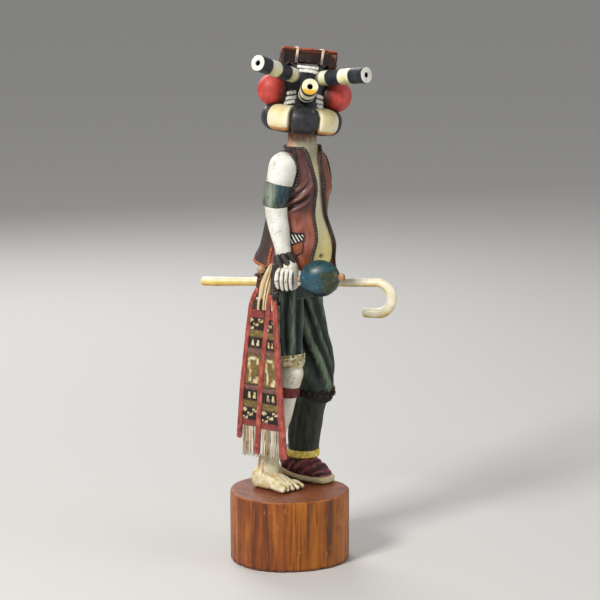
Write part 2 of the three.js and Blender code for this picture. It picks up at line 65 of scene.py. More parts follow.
bpy.context.scene.collection.objects.link(camera)
bpy.context.scene.camera = camera
bpy.context.scene.view_settings.view_transform = "Standard"


def lamp(name, place, aim, power, size, colour):
    light = bpy.data.lights.new(name, "AREA")
    light.energy = power
    light.size = size
    light.color = colour
    stand = bpy.data.objects.new(name, light)
    stand.location = place
    stand.rotation_euler = (Vector(aim) - Vector(place)).to_track_quat("-Z", "Y").to_euler()
    bpy.context.scene.collection.objects.link(stand)


lamp_aim = (0, 0, 0.18)
lamp("key", (-1.15, 0.1, 1.05), lamp_aim, power=19, size=0.35, colour=(1, 0.98, 0.95))
lamp("fill", (0.35, -1.3, 0.5), lamp_aim, power=5, size=0.9, colour=(0.95, 0.97, 1))
lamp("back", (0.6, 0.9, 0.9), lamp_aim, power=8, size=0.8, colour=(1, 1, 1))

world = bpy.data.worlds.new("studio")
world.use_nodes = True
world.node_tree.nodes["Background"].inputs["Color"].default_value = (0.86, 0.86, 0.85, 1)
world.node_tree.nodes["Background"].inputs["Strength"].default_value = 0.4
bpy.context.scene.world = world

floor_mesh = bpy.data.meshes.new("floor")
floor_half = 60
floor_corners = [(x * floor_half, y * floor_half, 0) for x, y in ((-1, -1), (1, -1), (1, 1), (-1, 1))]
floor_mesh.from_pydata(floor_corners, [], [(0, 1, 2, 3)])
floor_paint = bpy.data.materials.new("floor")
floor_paint.use_nodes = True
floor_shader = floor_paint.node_tree.nodes["Principled BSDF"]
floor_shader.inputs["Base Color"].default_value = (0.62, 0.61, 0.59, 1)
floor_shader.inputs["Roughness"].default_value = 0.8
floor_mesh.materials.append(floor_paint)
floor = bpy.data.objects.new("floor", floor_mesh)
bpy.context.scene.collection.objects.link(floor)

# Wood block under the feet.
# A slice of trunk stained orange brown, sawn across the grain, with a worn rim and a rough lower edge.
MM = 0.001
block_radius = 36
block_edge = 0.9
block_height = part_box("base")[1].z / MM


def tone(colour):
    """A colour of 0 to 255 as the light that it stands for."""
    share = np.asarray(colour, float) / 255
    return np.where(share <= 0.04045, share / 12.92, ((share + 0.055) / 1.055) ** 2.4)


def mix(first, second, share):
    """From first to second, point by point."""
    share = np.clip(np.asarray(share, float), 0, 1)[..., None]
    return np.asarray(first, float) * (1 - share) + np.asarray(second, float) * share


def ramp(value, low, high):
    """0 below low, 1 above high and smooth between them."""
    share = np.clip((np.asarray(value, float) - low) / (high - low), 0, 1)
    return share * share * (3 - 2 * share)


def rough(points, size, seed=0.0):
    """Smooth noise of about -1 to 1 at each point. size is one number or one for each axis."""
    flat = np.asarray(points, float).reshape(-1, 3) / np.asarray(size, float) + seed
    return np.array([noise.noise(Vector(p)) for p in flat]).reshape(np.asarray(points).shape[:-1])


def once_round(count):
    """Even angles once round a ring."""
    return np.linspace(0, 2 * math.pi, count, endpoint=False)


def unit(vectors):
    """Each vector brought to length 1."""
    return vectors / np.maximum(np.linalg.norm(vectors, axis=-1, keepdims=True), 1e-6)


def pushed(rings, out, by):
    """The rings with each point moved outwards by its own distance."""
    return rings + out * by[..., None]


def skin(rings):
    """Points and faces of a closed body through rings of points, each end closed by a fan."""
    count, sides = rings.shape[:2]
    here = np.arange(sides)
    there = (here + 1) % sides
    faces = []
    for ring in range(count - 1):
        start = ring * sides
        quads = np.stack([start + here, start + there, start + there + sides, start + here + sides], 1)
        faces += quads.tolist()
    points = np.vstack([rings.reshape(-1, 3), rings[0].mean(0), rings[-1].mean(0)])
    first, last = count * sides, count * sides + 1
    end = (count - 1) * sides
    faces += [[b, a, first] for a, b in zip(here.tolist(), there.tolist())]
    faces += [[end + a, end + b, last] for a, b in zip(here.tolist(), there.tolist())]
    return points, faces


def with_ends(values, first=0, last=0):
    """A value for each point of a skin: ring by ring, then the two that close its ends."""
    return np.append(np.ravel(values), [first, last])


def body(name, points, faces, colours, material, smooth=True):
    """A mesh object whose colours go into its Paint attribute, point by point."""
    mesh = bpy.data.meshes.new(name)
    mesh.from_pydata((np.asarray(points) * MM).tolist(), [], faces)
    shape = bmesh.new()
    shape.from_mesh(mesh)
    bmesh.ops.recalc_face_normals(shape, faces=shape.faces)
    shape.to_mesh(mesh)
    shape.free()
    mesh.shade_smooth() if smooth else mesh.shade_flat()
    coat(mesh, colours)
    mesh.materials.append(material)
    piece = bpy.data.objects.new(name, mesh)
    bpy.context.scene.collection.objects.link(piece)
    return piece


def coat(mesh, colours):
    """Writes the colours, one for all points or one for each, to the mesh's Paint attribute."""
    paint = mesh.color_attributes.new("Paint", "FLOAT_COLOR", "POINT")
    wide = np.ones((len(mesh.vertices), 4))
    wide[:, :3] = tone(colours)
    paint.data.foreach_set("color", wide.ravel())


def fasten(piece, part):
    """The piece rides on the one body and stands for its CAD part, which is hidden."""
    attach(piece, "root")
    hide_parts(part)


def group_socket(group, name, kind, into=True, value=None):
    made = group.interface.new_socket(name=name, in_out="INPUT" if into else "OUTPUT", socket_type=kind)
    if value is not None:
        made.default_value = value


def node(tree, kind, **inputs):
    """A node with the given inputs: From_Min is the socket From Min, and _0 is the first socket."""
    made = tree.nodes.new(kind)
    for key, value in inputs.items():
        place = made.inputs[int(key[1:])] if key[1:].isdigit() else made.inputs[key.replace("_", " ")]
        if isinstance(value, bpy.types.NodeSocket):
            tree.links.new(value, place)
        else:
            place.default_value = value
    return made


def maths(tree, operation, first, second=0.5, clamp=False):
    made = node(tree, "ShaderNodeMath", _0=first, _1=second)
    made.operation = operation
    made.use_clamp = clamp
    return made.outputs[0]


def blend(tree, share, first, second, kind="MIX"):
    made = tree.nodes.new("ShaderNodeMix")
    made.data_type = "RGBA"
    made.blend_type = kind
    for place, value in ((0, share), (6, first), (7, second)):
        if isinstance(value, bpy.types.NodeSocket):
            tree.links.new(value, made.inputs[place])
        else:
            made.inputs[place].default_value = value
    return made.outputs[2]


def spread(tree, value, low, high, to_low=0.0, to_high=1.0):
    made = node(
        tree, "ShaderNodeMapRange", Value=value, From_Min=low, From_Max=high, To_Min=to_low, To_Max=to_high
    )
    made.interpolation_type = "SMOOTHSTEP"
    return made.outputs[0]


def speckle(tree, place, scale, detail=4.0, roughness=0.55):
    made = node(tree, "ShaderNodeTexNoise", Vector=place, Scale=scale, Detail=detail, Roughness=roughness)
    return made.outputs["Fac"]


def make_aged_and_shaded_paint():
    """Old paint on wood: cloudy tone, grime and painted shade in hollows, grime in patches, bare edges and
    hair cracks.
    """
    group = bpy.data.node_groups.new("aged_and_shaded_paint", "ShaderNodeTree")
    for name, kind, value in (
        ("Paint", "NodeSocketColor", (0.8, 0.8, 0.8, 1)),
        ("Grime And Shade", "NodeSocketColor", (0.1, 0.06, 0.03, 1)),
        ("Hollow Grime And Shade", "NodeSocketFloat", 0.5),
        ("Patches", "NodeSocketFloat", 0.2),
        ("Bare", "NodeSocketColor", (0.5, 0.4, 0.3, 1)),
        ("Wear", "NodeSocketFloat", 0.3),
        ("Cracks", "NodeSocketFloat", 0.2),
        ("Roughness", "NodeSocketFloat", 0.5),
        ("Cloud", "NodeSocketFloat", 0.2),
    ):
        group_socket(group, name, kind, True, value)
    group_socket(group, "Color", "NodeSocketColor", False)
    group_socket(group, "Roughness", "NodeSocketFloat", False)
    group_socket(group, "Height", "NodeSocketFloat", False)
    given = group.nodes.new("NodeGroupInput").outputs
    place = group.nodes.new("ShaderNodeTexCoord").outputs["Object"]
    cloud = speckle(group, place, 110, 5)
    fleck = speckle(group, place, 1500, 3)
    patch = speckle(group, place, 240, 8, 0.65)
    point = group.nodes.new("ShaderNodeNewGeometry").outputs["Pointiness"]
    # Hollows, found by pointiness, take grime and painted shade.
    hollow = spread(group, point, 0.495, 0.44)
    edge = spread(group, point, 0.515, 0.57)
    bend_by = node(group, "ShaderNodeTexNoise", Vector=place, Scale=300, Detail=2).outputs["Color"]
    bent = blend(group, 0.012, place, bend_by, "LINEAR_LIGHT")
    cell = node(group, "ShaderNodeTexVoronoi", Vector=bent, Scale=170)
    cell.feature = "DISTANCE_TO_EDGE"
    crack_line = spread(group, cell.outputs["Distance"], 0.03, 0.0)
    crack_gate = spread(group, patch, 0.5, 0.62)
    crack = maths(group, "MULTIPLY", maths(group, "MULTIPLY", crack_line, crack_gate), given["Cracks"])
    light = spread(group, cloud, 0.25, 0.75, -1.0, 1.0)
    tint = maths(group, "MULTIPLY", light, given["Cloud"])
    bright = node(group, "ShaderNodeHueSaturation", Color=given["Paint"])
    group.links.new(maths(group, "ADD", tint, 1.0), bright.inputs["Value"])
    grained = blend(group, 0.12, bright.outputs[0], node(group, "ShaderNodeCombineColor").outputs[0], "MIX")
    grained = blend(group, spread(group, fleck, 0.5, 0.8, 0.0, 0.5), bright.outputs[0], grained)
    # Darkening in the hollows: grime and painted shade together.
    stain = maths(group, "MULTIPLY", hollow, given["Hollow Grime And Shade"])
    spots = maths(group, "MULTIPLY", spread(group, patch, 0.54, 0.72), given["Patches"])
    grime_and_shade_share = maths(group, "MAXIMUM", maths(group, "MAXIMUM", stain, spots), crack, True)
    stained_and_shaded = blend(group, grime_and_shade_share, grained, given["Grime And Shade"])
    bare_edge = maths(group, "MULTIPLY", edge, given["Wear"])
    rubbed = maths(group, "MULTIPLY", bare_edge, spread(group, patch, 0.3, 0.6))
    result = blend(group, rubbed, stained_and_shaded, given["Bare"])
    out = group.nodes.new("NodeGroupOutput")
    group.links.new(result, out.inputs["Color"])
    dull = maths(group, "ADD", given["Roughness"], spread(group, patch, 0.3, 0.7, -0.08, 0.12), True)
    group.links.new(dull, out.inputs["Roughness"])
    broad, fine = maths(group, "MULTIPLY", cloud, 0.6), maths(group, "MULTIPLY", fleck, 0.12)
    height = maths(group, "ADD", broad, fine)
    height = maths(group, "SUBTRACT", height, maths(group, "MULTIPLY", crack, 0.6))
    group.links.new(height, out.inputs["Height"])
    return group


aged_and_shaded_paint = make_aged_and_shaded_paint()


def painted(
    name, grime_and_shade, bare, depth=0.8, patches=0.2, wear=0.4, cracks=0.0, roughness=0.5, cloud=0.2,
    bump=0.3, gloss=0.0,
):
    """A paint whose own colour comes from the mesh, and whose age and painted shade in the hollows come
    from the shared node group.
    """
    material = bpy.data.materials.new(name)
    material.use_nodes = True
    tree = material.node_tree
    shader = tree.nodes["Principled BSDF"]
    source = tree.nodes.new("ShaderNodeAttribute")
    source.attribute_name = "Paint"
    age = tree.nodes.new("ShaderNodeGroup")
    age.node_tree = aged_and_shaded_paint
    tree.links.new(source.outputs["Color"], age.inputs["Paint"])
    age.inputs["Grime And Shade"].default_value = (*tone(grime_and_shade), 1)
    age.inputs["Bare"].default_value = (*tone(bare), 1)
    for key, value in (
        ("Hollow Grime And Shade", depth),
        ("Patches", patches),
        ("Wear", wear),
        ("Cracks", cracks),
        ("Roughness", roughness),
        ("Cloud", cloud),
    ):
        age.inputs[key].default_value = value
    tree.links.new(age.outputs["Color"], shader.inputs["Base Color"])
    tree.links.new(age.outputs["Roughness"], shader.inputs["Roughness"])
    lift = node(tree, "ShaderNodeBump", Strength=bump, Distance=0.0006, Height=age.outputs["Height"])
    tree.links.new(lift.outputs["Normal"], shader.inputs["Normal"])
    shader.inputs["Specular IOR Level"].default_value = 0.4
    shader.inputs["Coat Weight"].default_value = gloss
    shader.inputs["Coat Roughness"].default_value = 0.25
    return material


def block_wall(turn):
    """The trunk's outline, a little out of round."""
    oval = 0.08 * np.cos(2 * (turn + math.radians(58)))
    flat = 0.025 * np.cos(3 * (turn + math.radians(50)))
    return (block_radius - block_edge) * (1 + oval + flat) + block_edge


def make_block():
    sides, levels = 320, 60
    turn = once_round(sides)
    profile = [(0.93, 0.0), (0.985, 0.15), (1.0, 1.0)]
    profile += [(1.0, 1.0 + (block_height - 2.2) * k / levels) for k in range(1, levels + 1)]
    profile += [(0.994, block_height - 0.55), (0.982, block_height - 0.12), (0.965, block_height)]
    profile += [(share, block_height) for share in np.linspace(0.93, 0.05, 22)]
    rings = []
    for share, up in profile:
        wall = block_wall(turn) * share
        level = np.full(sides, up)
        rings.append(np.stack([wall * np.cos(turn), wall * np.sin(turn), level], 1))
    rings = np.array(rings)
    up = rings[..., 2]
    from_middle = np.hypot(rings[..., 0], rings[..., 1])
    side_part = ramp(from_middle, 25, 30) * (1 - ramp(up, block_height - 1, block_height))
    grain = rough(rings, (1.3, 1.3, 26)) * 0.22 + rough(rings, (4, 4, 50), 9) * 0.35
    nick = np.minimum(rough(rings, (2.2, 2.2, 1.6), 4), 0) * 1.5 * (1 - ramp(up, 0.5, 3.2))
    push = (grain - 0.25 + nick) * side_part
    out = rings.copy()
    out[..., 2] = 0
    rings = pushed(rings, unit(out), push)
    sawn = rough(rings, (9, 9, 9), 2) * 0.12
    rings[..., 2] += np.where(up >= block_height, sawn - 0.1, 0)
    points, faces = skin(rings)
    angle = np.arctan2(points[:, 1], points[:, 0])
    streak = rough(points, (1.1, 1.1, 30), 3)
    broad = rough(points, (6, 6, 60), 5)
    orange = mix((182, 104, 22), (128, 68, 12), 0.5 + 1.0 * streak)
    red = mix((152, 80, 26), (112, 52, 16), 0.5 + 0.9 * streak)
    redder = ramp(np.cos(angle - math.radians(140)), -0.1, 0.75)
    wall = mix(orange, red, redder)
    wall = mix(wall, (78, 38, 12), ramp(broad, 0.1, 0.5) * 0.75)
    wall = mix(wall, (206, 128, 40), ramp(-broad, 0.15, 0.5) * 0.5)
    scratch = ramp(rough(points, (0.45, 0.45, 4), 11), 0.46, 0.56) * ramp(rough(points, 9, 12), 0.15, 0.4)
    wall = mix(wall, (222, 176, 120), scratch * 0.5)
    wall = mix(wall, (70, 30, 14), 1 - ramp(points[:, 2], 0.2, 2.4))
    top = mix((104, 54, 36), (134, 74, 46), 0.5 + rough(points, (5, 14, 5), 8))
    rim = np.exp(-((points[:, 2] - block_height + 0.6) / 0.45) ** 2) * ramp(rough(points, 3, 6), -0.5, 0.3)
    colours = mix(wall, top, ramp(points[:, 2], block_height - 0.5, block_height - 0.15))
    colours = mix(colours, (190, 112, 66), rim * 0.75)
    return points, faces, colours


block_stain = painted(
    "stained_block", grime_and_shade=(52, 24, 10), bare=(196, 120, 66), depth=0.5, patches=0.12, wear=0.35,
    roughness=0.42, cloud=0.1,
)
stain_tree = block_stain.node_tree
stain_place = stain_tree.nodes.new("ShaderNodeTexCoord").outputs["Object"]
stretch = node(stain_tree, "ShaderNodeMapping", Vector=stain_place, Scale=(1, 1, 0.035))
fibre = speckle(stain_tree, stretch.outputs[0], 1300, 6, 0.6)
stain_shader = stain_tree.nodes["Principled BSDF"]
fibred = stain_shader.inputs["Base Color"].links[0].from_socket
for low, high, most, stain in ((0.5, 0.72, 0.75, (70, 30, 10)), (0.42, 0.25, 0.35, (214, 138, 66))):
    share = spread(stain_tree, fibre, low, high, 0.0, most)
    fibred = blend(stain_tree, share, fibred, (*tone(stain), 1))
stain_tree.links.new(fibred, stain_shader.inputs["Base Color"])
base_piece = body("trunk_block", *make_block(), block_stain)
fasten(base_piece, "base")

# Trunk of the body, from the waist to the neck.
# Carved from the same root as the limbs and painted cream, yellowed over the belly, with a drilled navel.
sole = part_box("figure")[0].z / MM
stand_side, stand_forward = 10.7, 1.2
body_power = 2.5
chest_sections = [
    # height over the soles, side, forward, half width, half depth
    [126, 0, -6, 17.4, 15.4],
    [136, 0, -5.5, 20.5, 19],
    [146, 0, -4, 21, 21],
    [152, 0, -3, 21.5, 22],
    [160, 0, -0.9, 20.5, 20.8],
    [168, 0, -0.9, 19.5, 18.5],
    [178, 0, -1.5, 18.6, 15.6],
    [188, 0, -0.6, 18.6, 15.4],
    [198, 0, 0.6, 19.4, 15.4],
    [207, 0, 0.8, 19.6, 13.2],
    [214, 0, 1, 18, 11],
    [219.5, 0, 1.6, 12.4, 9.6],
    [224, 0, 2.2, 9.2, 8.8],
    [236, 0, 2, 8.6, 8.6],
]


def at(side, forward, up):
    """A place on the figure: sideways to its left, forward, and up from the soles."""
    side, forward, up = np.broadcast_arrays(side, forward, up)
    return np.stack([stand_side + side, -stand_forward - forward, sole + up], -1).astype(float)


def smooth_rows(rows, steps):
    """A smooth line through rows of numbers, with steps points for each span."""
    rows = np.asarray(rows, float)
    ends = np.vstack([2 * rows[0] - rows[1], rows, 2 * rows[-1] - rows[-2]])
    line = []
    for k in range(len(rows) - 1):
        before, here, there, after = ends[k : k + 4]
        for f in np.linspace(0, 1, steps, endpoint=False):
            line.append(
                here
                + 0.5 * f * (there - before)
                + 0.5 * f**2 * (2 * before - 5 * here + 4 * there - after)
                + 0.5 * f**3 * (3 * here - before - 3 * there + after)
            )
    line.append(rows[-1])
    return np.array(line)


def section_of(table, up):
    """Side, forward, half width and half depth of a level section."""
    return [np.interp(up, table[:, 0], table[:, k]) for k in range(1, 5)]


def oblong(angle, power):
    """Across and ahead of a section at each angle, from round at power 2 to square at a high one."""
    c, s = np.cos(angle), np.sin(angle)
    return np.sign(c) * np.abs(c) ** (2 / power), np.sign(s) * np.abs(s) ** (2 / power)


def wrap(table, turn, up, grow=0.0, tilt=0.0):
    """A place on a body: turn is 90 degrees at the front and 180 at its right side."""
    side, forward, half_side, half_forward = section_of(table, up)
    across, ahead = oblong(turn, body_power)
    ahead = ahead * (half_forward + grow)
    return at(side + across * (half_side + grow), forward + ahead, up - tilt * ahead)


chest_table = smooth_rows(chest_sections, 8)


def make_chest():
    turn = once_round(120)
    ups = chest_table[:, 0]
    grid_turn, grid_up = np.meshgrid(turn, ups)
    navel = np.exp(-(((grid_turn - math.radians(96)) * 20) ** 2 + (grid_up - 154.2) ** 2) / 1.2)
    swell = rough(wrap(chest_table, grid_turn, grid_up), 7) * 0.25
    points, faces = skin(wrap(chest_table, grid_turn, grid_up, swell - 1.8 * navel))
    up = points[:, 2] - sole
    colours = mix((218, 212, 190), (226, 210, 150), ramp(rough(points, (14, 14, 20), 3), -0.3, 0.4) * 0.7)
    yellow = (1 - ramp(up + 8 * rough(points, (5, 5, 7), 6), 148, 178)) * ramp(points[:, 0], -9, 4)
    colours = mix((224, 221, 204), colours, 0.35 + 0.65 * ramp(points[:, 0], -12, 2))
    colours = mix(colours, (226, 212, 132), yellow * 0.9)
    forward = -stand_forward - points[:, 1]
    # Greyer on the front of the neck under the ring: painted shade.
    colours = mix(colours, (150, 146, 124), ramp(up, 208, 220) * ramp(forward, 0, 6) * 0.8)
    colours = mix(colours, (206, 150, 128), ramp(up, 216, 224) * (1 - ramp(forward, 0, 4)) * 0.8)
    colours = mix(colours, (124, 62, 44), ramp(up + 3 * rough(points, 3, 2), 225, 231) * 0.85)
    colours = mix(colours, (26, 36, 30), 1 - ramp(up + 0.1 * forward, 145, 146))
    # The drilled navel is darkened as painted shade in the hole.
    hole = with_ends(navel)
    colours = mix(colours, (38, 24, 16), hole * 1.2)
    return points, faces, colours


cream_skin = painted(
    "cream_skin", grime_and_shade=(96, 76, 46), bare=(214, 206, 178), depth=0.4, patches=0.16, wear=0.2, cracks=0.3,
    cloud=0.07, bump=0.25,
)
chest_piece = body("body_trunk", *make_chest(), cream_skin)
fasten(chest_piece, "figure")

# Vest, open at the front.
# Carved folds sweep from under the arm to the front edge. It is washed brown, darker at the back, with
# salmon low on the right front and orange along the edge.
vest_thickness = 1.5
hem_up, collar_up = 145, 223
vest_table = smooth_rows(
    [[143, 0, -3.4, 22.3, 22.4], [hem_up, 0, -3.4, 22.5, 22.7], [147, 0, -3.4, 22.7, 23]]
    + [row for row in chest_sections if 150 < row[0]],
    8,
)
vest_opening = [
    # height, the right edge and the left edge to the side of the middle
    [143, -15, 15],
    [146, -14, 14],
    [158, -12, 12],
    [166, -8.5, 10.6],
    [176, -6, 9.4],
    [184, -6.2, 6.4],
    [196, -6.2, 2.2],
    [206, -6.8, 3],
    [215, -7.4, 4.8],
    [224, -9.4, 8],
]
opening_table = smooth_rows(vest_opening, 8)
fold_lines = [
    # (degrees round the body, height) along the fold, its lift and its width
    ([(182, 181), (164, 188.4), (139.4, 192), (122, 197), (113.5, 200.5)], 1.5, 1.5),
    ([(184, 175), (164.4, 182.3), (138, 186.2), (122, 189.5), (114, 193)], 1.2, 1.3),
    ([(170, 194), (150, 196.5), (132, 200), (118, 206)], 0.9, 1.4),
    ([(150, 190), (134, 195), (120, 201), (112, 208)], 0.6, 1.2),
    ([(112, 196), (111, 206), (116, 214)], 0.7, 2.2),
    ([(134, 150), (130, 160), (122, 172)], 0.4, 2.0),
    ([(358, 181), (380, 188), (400, 192), (420, 200)], 1.1, 1.5),
    ([(356, 190), (378, 196), (404, 204)], 0.7, 1.8),
    ([(236, 150), (232, 168), (238, 186)], 0.7, 3.0),
    ([(278, 150), (276, 172), (280, 196)], 0.7, 3.0),
    ([(318, 150), (322, 170), (314, 188)], 0.7, 3.0),
]


def vest_tilt(up):
    return 0.16 * (1 - ramp(up, hem_up + 2, hem_up + 14))


def edge_turn(up, column):
    """Where round the body the vest's front edge lies: column 1 is its right edge, 2 its left."""
    side = np.interp(up, opening_table[:, 0], opening_table[:, column])
    half = section_of(vest_table, up)[2] + vest_thickness
    share = np.clip(np.abs(side / half), 0, 0.98) ** (body_power / 2)
    return np.arccos(np.sign(side) * share)


def ridge(turn_deg, up, line, width):
    """1 along a line of (turn, up) places and less beside it."""
    across = 0.36
    best = np.full(np.shape(turn_deg), 1e9)
    ends = np.zeros(np.shape(turn_deg))
    route = smooth_rows(line, 6)
    total = len(route) - 1
    for k, (a, b) in enumerate(zip(route[:-1], route[1:])):
        step = np.array([(b[0] - a[0]) * across, b[1] - a[1]])
        gone = np.stack([(turn_deg - a[0]) * across, up - a[1]], -1)
        share = np.clip(gone @ step / (step @ step), 0, 1)
        gap = np.linalg.norm(gone - share[..., None] * step, axis=-1)
        ends = np.where(gap < best, (k + share) / total, ends)
        best = np.minimum(gap, best)
    return np.exp(-((best / width) ** 2)) * np.sin(np.pi * np.clip(ends, 0.04, 0.96)) ** 0.4


def vest_relief(turn, up):
    turn_deg = np.degrees(turn)
    relief = np.zeros(np.shape(turn))
    for line, lift, width in fold_lines:
        relief += lift * ridge(turn_deg, up, line, width)
    valley = ridge(turn_deg, up, [(180, 178), (164, 185.3), (139, 189), (120, 193.5)], 1.0)
    valley += 0.6 * ridge(turn_deg, up, [(172, 190), (150, 193.4), (130, 198.4), (117, 204)], 0.9)
    return relief - 0.9 * valley


def vest_place(turn, up, lift=0.0):
    return wrap(vest_table, turn, up, vest_thickness + vest_relief(turn, up) + lift, vest_tilt(up))


def thick_sheet(front, back):
    """Points and faces of a closed sheet, from the grids of points on its front and back."""
    rows, columns = front.shape[:2]
    count = rows * columns
    cell = (np.arange(rows - 1)[:, None] * columns + np.arange(columns - 1)).ravel()
    faces = np.stack([cell, cell + 1, cell + columns + 1, cell + columns], 1)
    faces = faces.tolist() + (faces[:, ::-1] + count).tolist()
    low, high = np.arange(columns), np.arange(columns) + (rows - 1) * columns
    near, far = np.arange(rows) * columns, np.arange(rows) * columns + columns - 1
    for border in (low[::-1], high, near, far[::-1]):
        for a, b in zip(border[:-1].tolist(), border[1:].tolist()):
            faces.append([b, a, a + count, b + count])
    return np.vstack([front.reshape(-1, 3), back.reshape(-1, 3)]), faces


def make_vest():
    columns, rows = 220, 108
    share, up = np.meshgrid(np.linspace(0, 1, columns), np.linspace(hem_up, collar_up, rows))
    right, left = edge_turn(up, 1), edge_turn(up, 2) + 2 * math.pi
    turn = right + (left - right) * share
    sides = np.minimum(share, 1 - share) * 120
    ends = np.minimum(up - hem_up, collar_up - up)
    worn = 1 - 0.55 * (1 - ramp(np.minimum(sides, ends), 0, 1.2))
    soft = rough(wrap(vest_table, turn, up), (6, 6, 12)) * 0.25
    relief = vest_relief(turn, up)
    outside = wrap(vest_table, turn, up, vest_thickness * worn + relief * worn + soft, vest_tilt(up))
    inside = wrap(vest_table, turn, up, -0.6, vest_tilt(up))
    points, faces = thick_sheet(outside, inside)
    turn_deg = np.degrees(turn)
    blotch = rough(outside, (8, 8, 14), 5)
    colours = mix((72, 43, 43), (96, 57, 51), 0.5 + blotch)
    salmon = (1 - ramp(up, 178, 188)) * ramp(turn_deg, 100, 118) * (1 - ramp(turn_deg, 172, 200))
    salmon_tone = mix((150, 92, 78), (128, 72, 58), 0.5 + 1.4 * rough(outside, (3, 3, 6), 8))
    colours = mix(colours, salmon_tone, salmon)
    edge = 1 - ramp(turn_deg + 0.35 * (up - 160) + 6 * blotch, 116, 132)
    colours = mix(colours, (158, 78, 38), edge * (1 - ramp(up, 174, 190)) * 0.85)
    colours = mix(colours, (146, 72, 38), (1 - ramp(up, 150, 158)) * (1 - ramp(turn_deg, 150, 180)))
    back = turn_deg < 345
    colours = mix(colours, (66, 52, 48), ramp(turn_deg, 180, 205) * (1 - ramp(up, 196, 210)) * back)
    colours = mix(colours, (66, 52, 48), ramp(turn_deg, 200, 215) * back)
    colours = mix(colours, (132, 74, 50), ramp(turn_deg, 385, 405) * ramp(up, 182, 190))
    colours = mix(colours, (128, 72, 50), ramp(turn_deg, 335, 360) * (1 - ramp(up, 180, 190)))
    # Paler along the fold ridges as painted highlight, and darker in the valleys as painted shade.
    colours = mix(colours, (150, 106, 94), ramp(relief, 0.5, 1.3) * 0.55)
    colours = mix(colours, (40, 22, 20), ramp(-relief, 0.12, 0.7) * 0.85)
    colours = colours.reshape(-1, 3)
    # The inside face gets the same colours at half brightness: painted shade.
    return points, faces, np.vstack([colours, colours * 0.5])


leather_wash = painted(
    "brown_wash", grime_and_shade=(34, 18, 14), bare=(180, 128, 104), depth=0.9, patches=0.28, wear=0.35,
    roughness=0.4, bump=0.35,
)
vest_piece = body("vest", *make_vest(), leather_wash)
fasten(vest_piece, "figure")

# Edging of the vest.
# A narrow black band with scalloped sides runs down both front edges, round the collar and each armhole.
# Short pale stitches sit along it.
scallop = 2.2
band_half = 1.35
edge_ups = np.linspace(hem_up + 0.5, 222, 60)
front_right = [(math.degrees(edge_turn(u, 1)), u) for u in edge_ups]
front_left = [(math.degrees(edge_turn(u, 2)) + 360, u) for u in edge_ups]
collar = [(a, 222.5) for a in np.linspace(front_right[-1][0], front_left[-1][0], 16)]
arm_hole = [
    (184, 221.2), (168, 220.2), (154.4, 217.6), (145, 214), (141, 209.5), (143, 204.5), (151, 200),
    (165, 196), (182, 193), (200, 195), (214, 200), (221, 207), (217, 214), (204, 219.4), (184, 221.2),
]
edging_routes = {
    "right_front": front_right,
    "left_front": front_left,
    "collar": collar,
    "right_armhole": arm_hole,
    "left_armhole": [(540 - a, u) for a, u in arm_hole],
}


def even_line(points, gap):
    """The same line with points at even gaps."""
    points = np.asarray(points, float)
    gone = np.concatenate([[0], np.cumsum(np.linalg.norm(np.diff(points, axis=0), axis=1))])
    marks = np.linspace(0, gone[-1], max(int(round(gone[-1] / gap)), 2) + 1)
    return np.stack([np.interp(marks, gone, points[:, k]) for k in range(3)], 1), marks


def strip(line, out, half_width, half_height, sides=10, power=2.0):
    """Rings of a strip or rod along a line; out is the way its outer face looks, point by point."""
    along = unit(np.gradient(line, axis=0))
    across = unit(np.cross(out, along))
    lift = np.cross(along, across)
    c, s = oblong(once_round(sides), power)
    wide = np.broadcast_to(half_width, len(line))[:, None, None]
    high = np.broadcast_to(half_height, len(line))[:, None, None]
    return line[:, None] + across[:, None] * c[:, None] * wide + lift[:, None] * s[:, None] * high


def outward(places, middle_forward=0.0):
    """Level direction away from the body's middle line."""
    out = places - at(0, middle_forward, 0)
    out[:, 2] = 0
    return unit(out)


def bead(centre, along, length, radius, sides=8, rings=5):
    """Rings of one short rounded stitch."""
    along = unit(along)
    other = unit(np.cross(along, (0.3, 0.5, 0.8)))
    third = np.cross(along, other)
    share = np.linspace(-0.94, 0.94, rings)
    size = np.sqrt(1 - share**2) * radius
    angle = once_round(sides)
    round_part = other * np.cos(angle)[:, None] + third * np.sin(angle)[:, None]
    return centre + share[:, None, None] * along * length + size[:, None, None] * round_part[None]


def gathered(parts):
    """Several closed skins as one set of points and faces."""
    points, faces, start = [], [], 0
    for rings in parts:
        some, theirs = skin(rings)
        points.append(some)
        faces += [[i + start for i in face] for face in theirs]
        start += len(some)
    return np.vstack(points), faces


black_band = painted("black_edging", grime_and_shade=(10, 8, 8), bare=(120, 104, 92), depth=0.5, patches=0.1)
pale_stitch = painted(
    "pale_stitches", grime_and_shade=(90, 70, 50), bare=(220, 214, 196), depth=0.3, wear=0.1, roughness=0.6,
    cloud=0.1, bump=0.25,
)
band_parts, stitch_parts = [], []
for name, route in edging_routes.items():
    route = smooth_rows(route, 6) if len(route) < 30 else np.array(route)
    turns, ups = np.radians(route[:, 0]), route[:, 1]
    line, gone = even_line(vest_place(turns, ups, 0.15), 0.4)
    wave = np.abs(np.sin(math.pi * gone / scallop)) ** 0.7
    broad = band_half * {"left_front": 1.7, "collar": 0.7}.get(name, 1.0)
    band_parts.append(strip(line, outward(line), broad * (0.62 + 0.38 * wave), 0.6 + 0.25 * wave))
    step = int(round(scallop / (gone[1] - gone[0])))
    for k in range(step // 2, len(line) - 1, step):
        out = outward(line[k : k + 1])[0]
        run = line[k + 1] - line[k - 1]
        aside = np.cross(out, unit(run))
        place = line[k] + out * 0.62 + aside * 0.35
        stitch_parts.append(bead(place, run + aside * 0.3, length=0.5, radius=0.17))
edging_piece = body("vest_edging", *gathered(band_parts), (22, 16, 15), black_band)
fasten(edging_piece, "figure")
stitch_piece = body("vest_stitches", *gathered(stitch_parts), (150, 136, 116), pale_stitch)
fasten(stitch_piece, "figure")

# Pocket on the right front of the vest.
# A low flap with pale slanting marks on black lies over a brown pocket that has a dark outline.


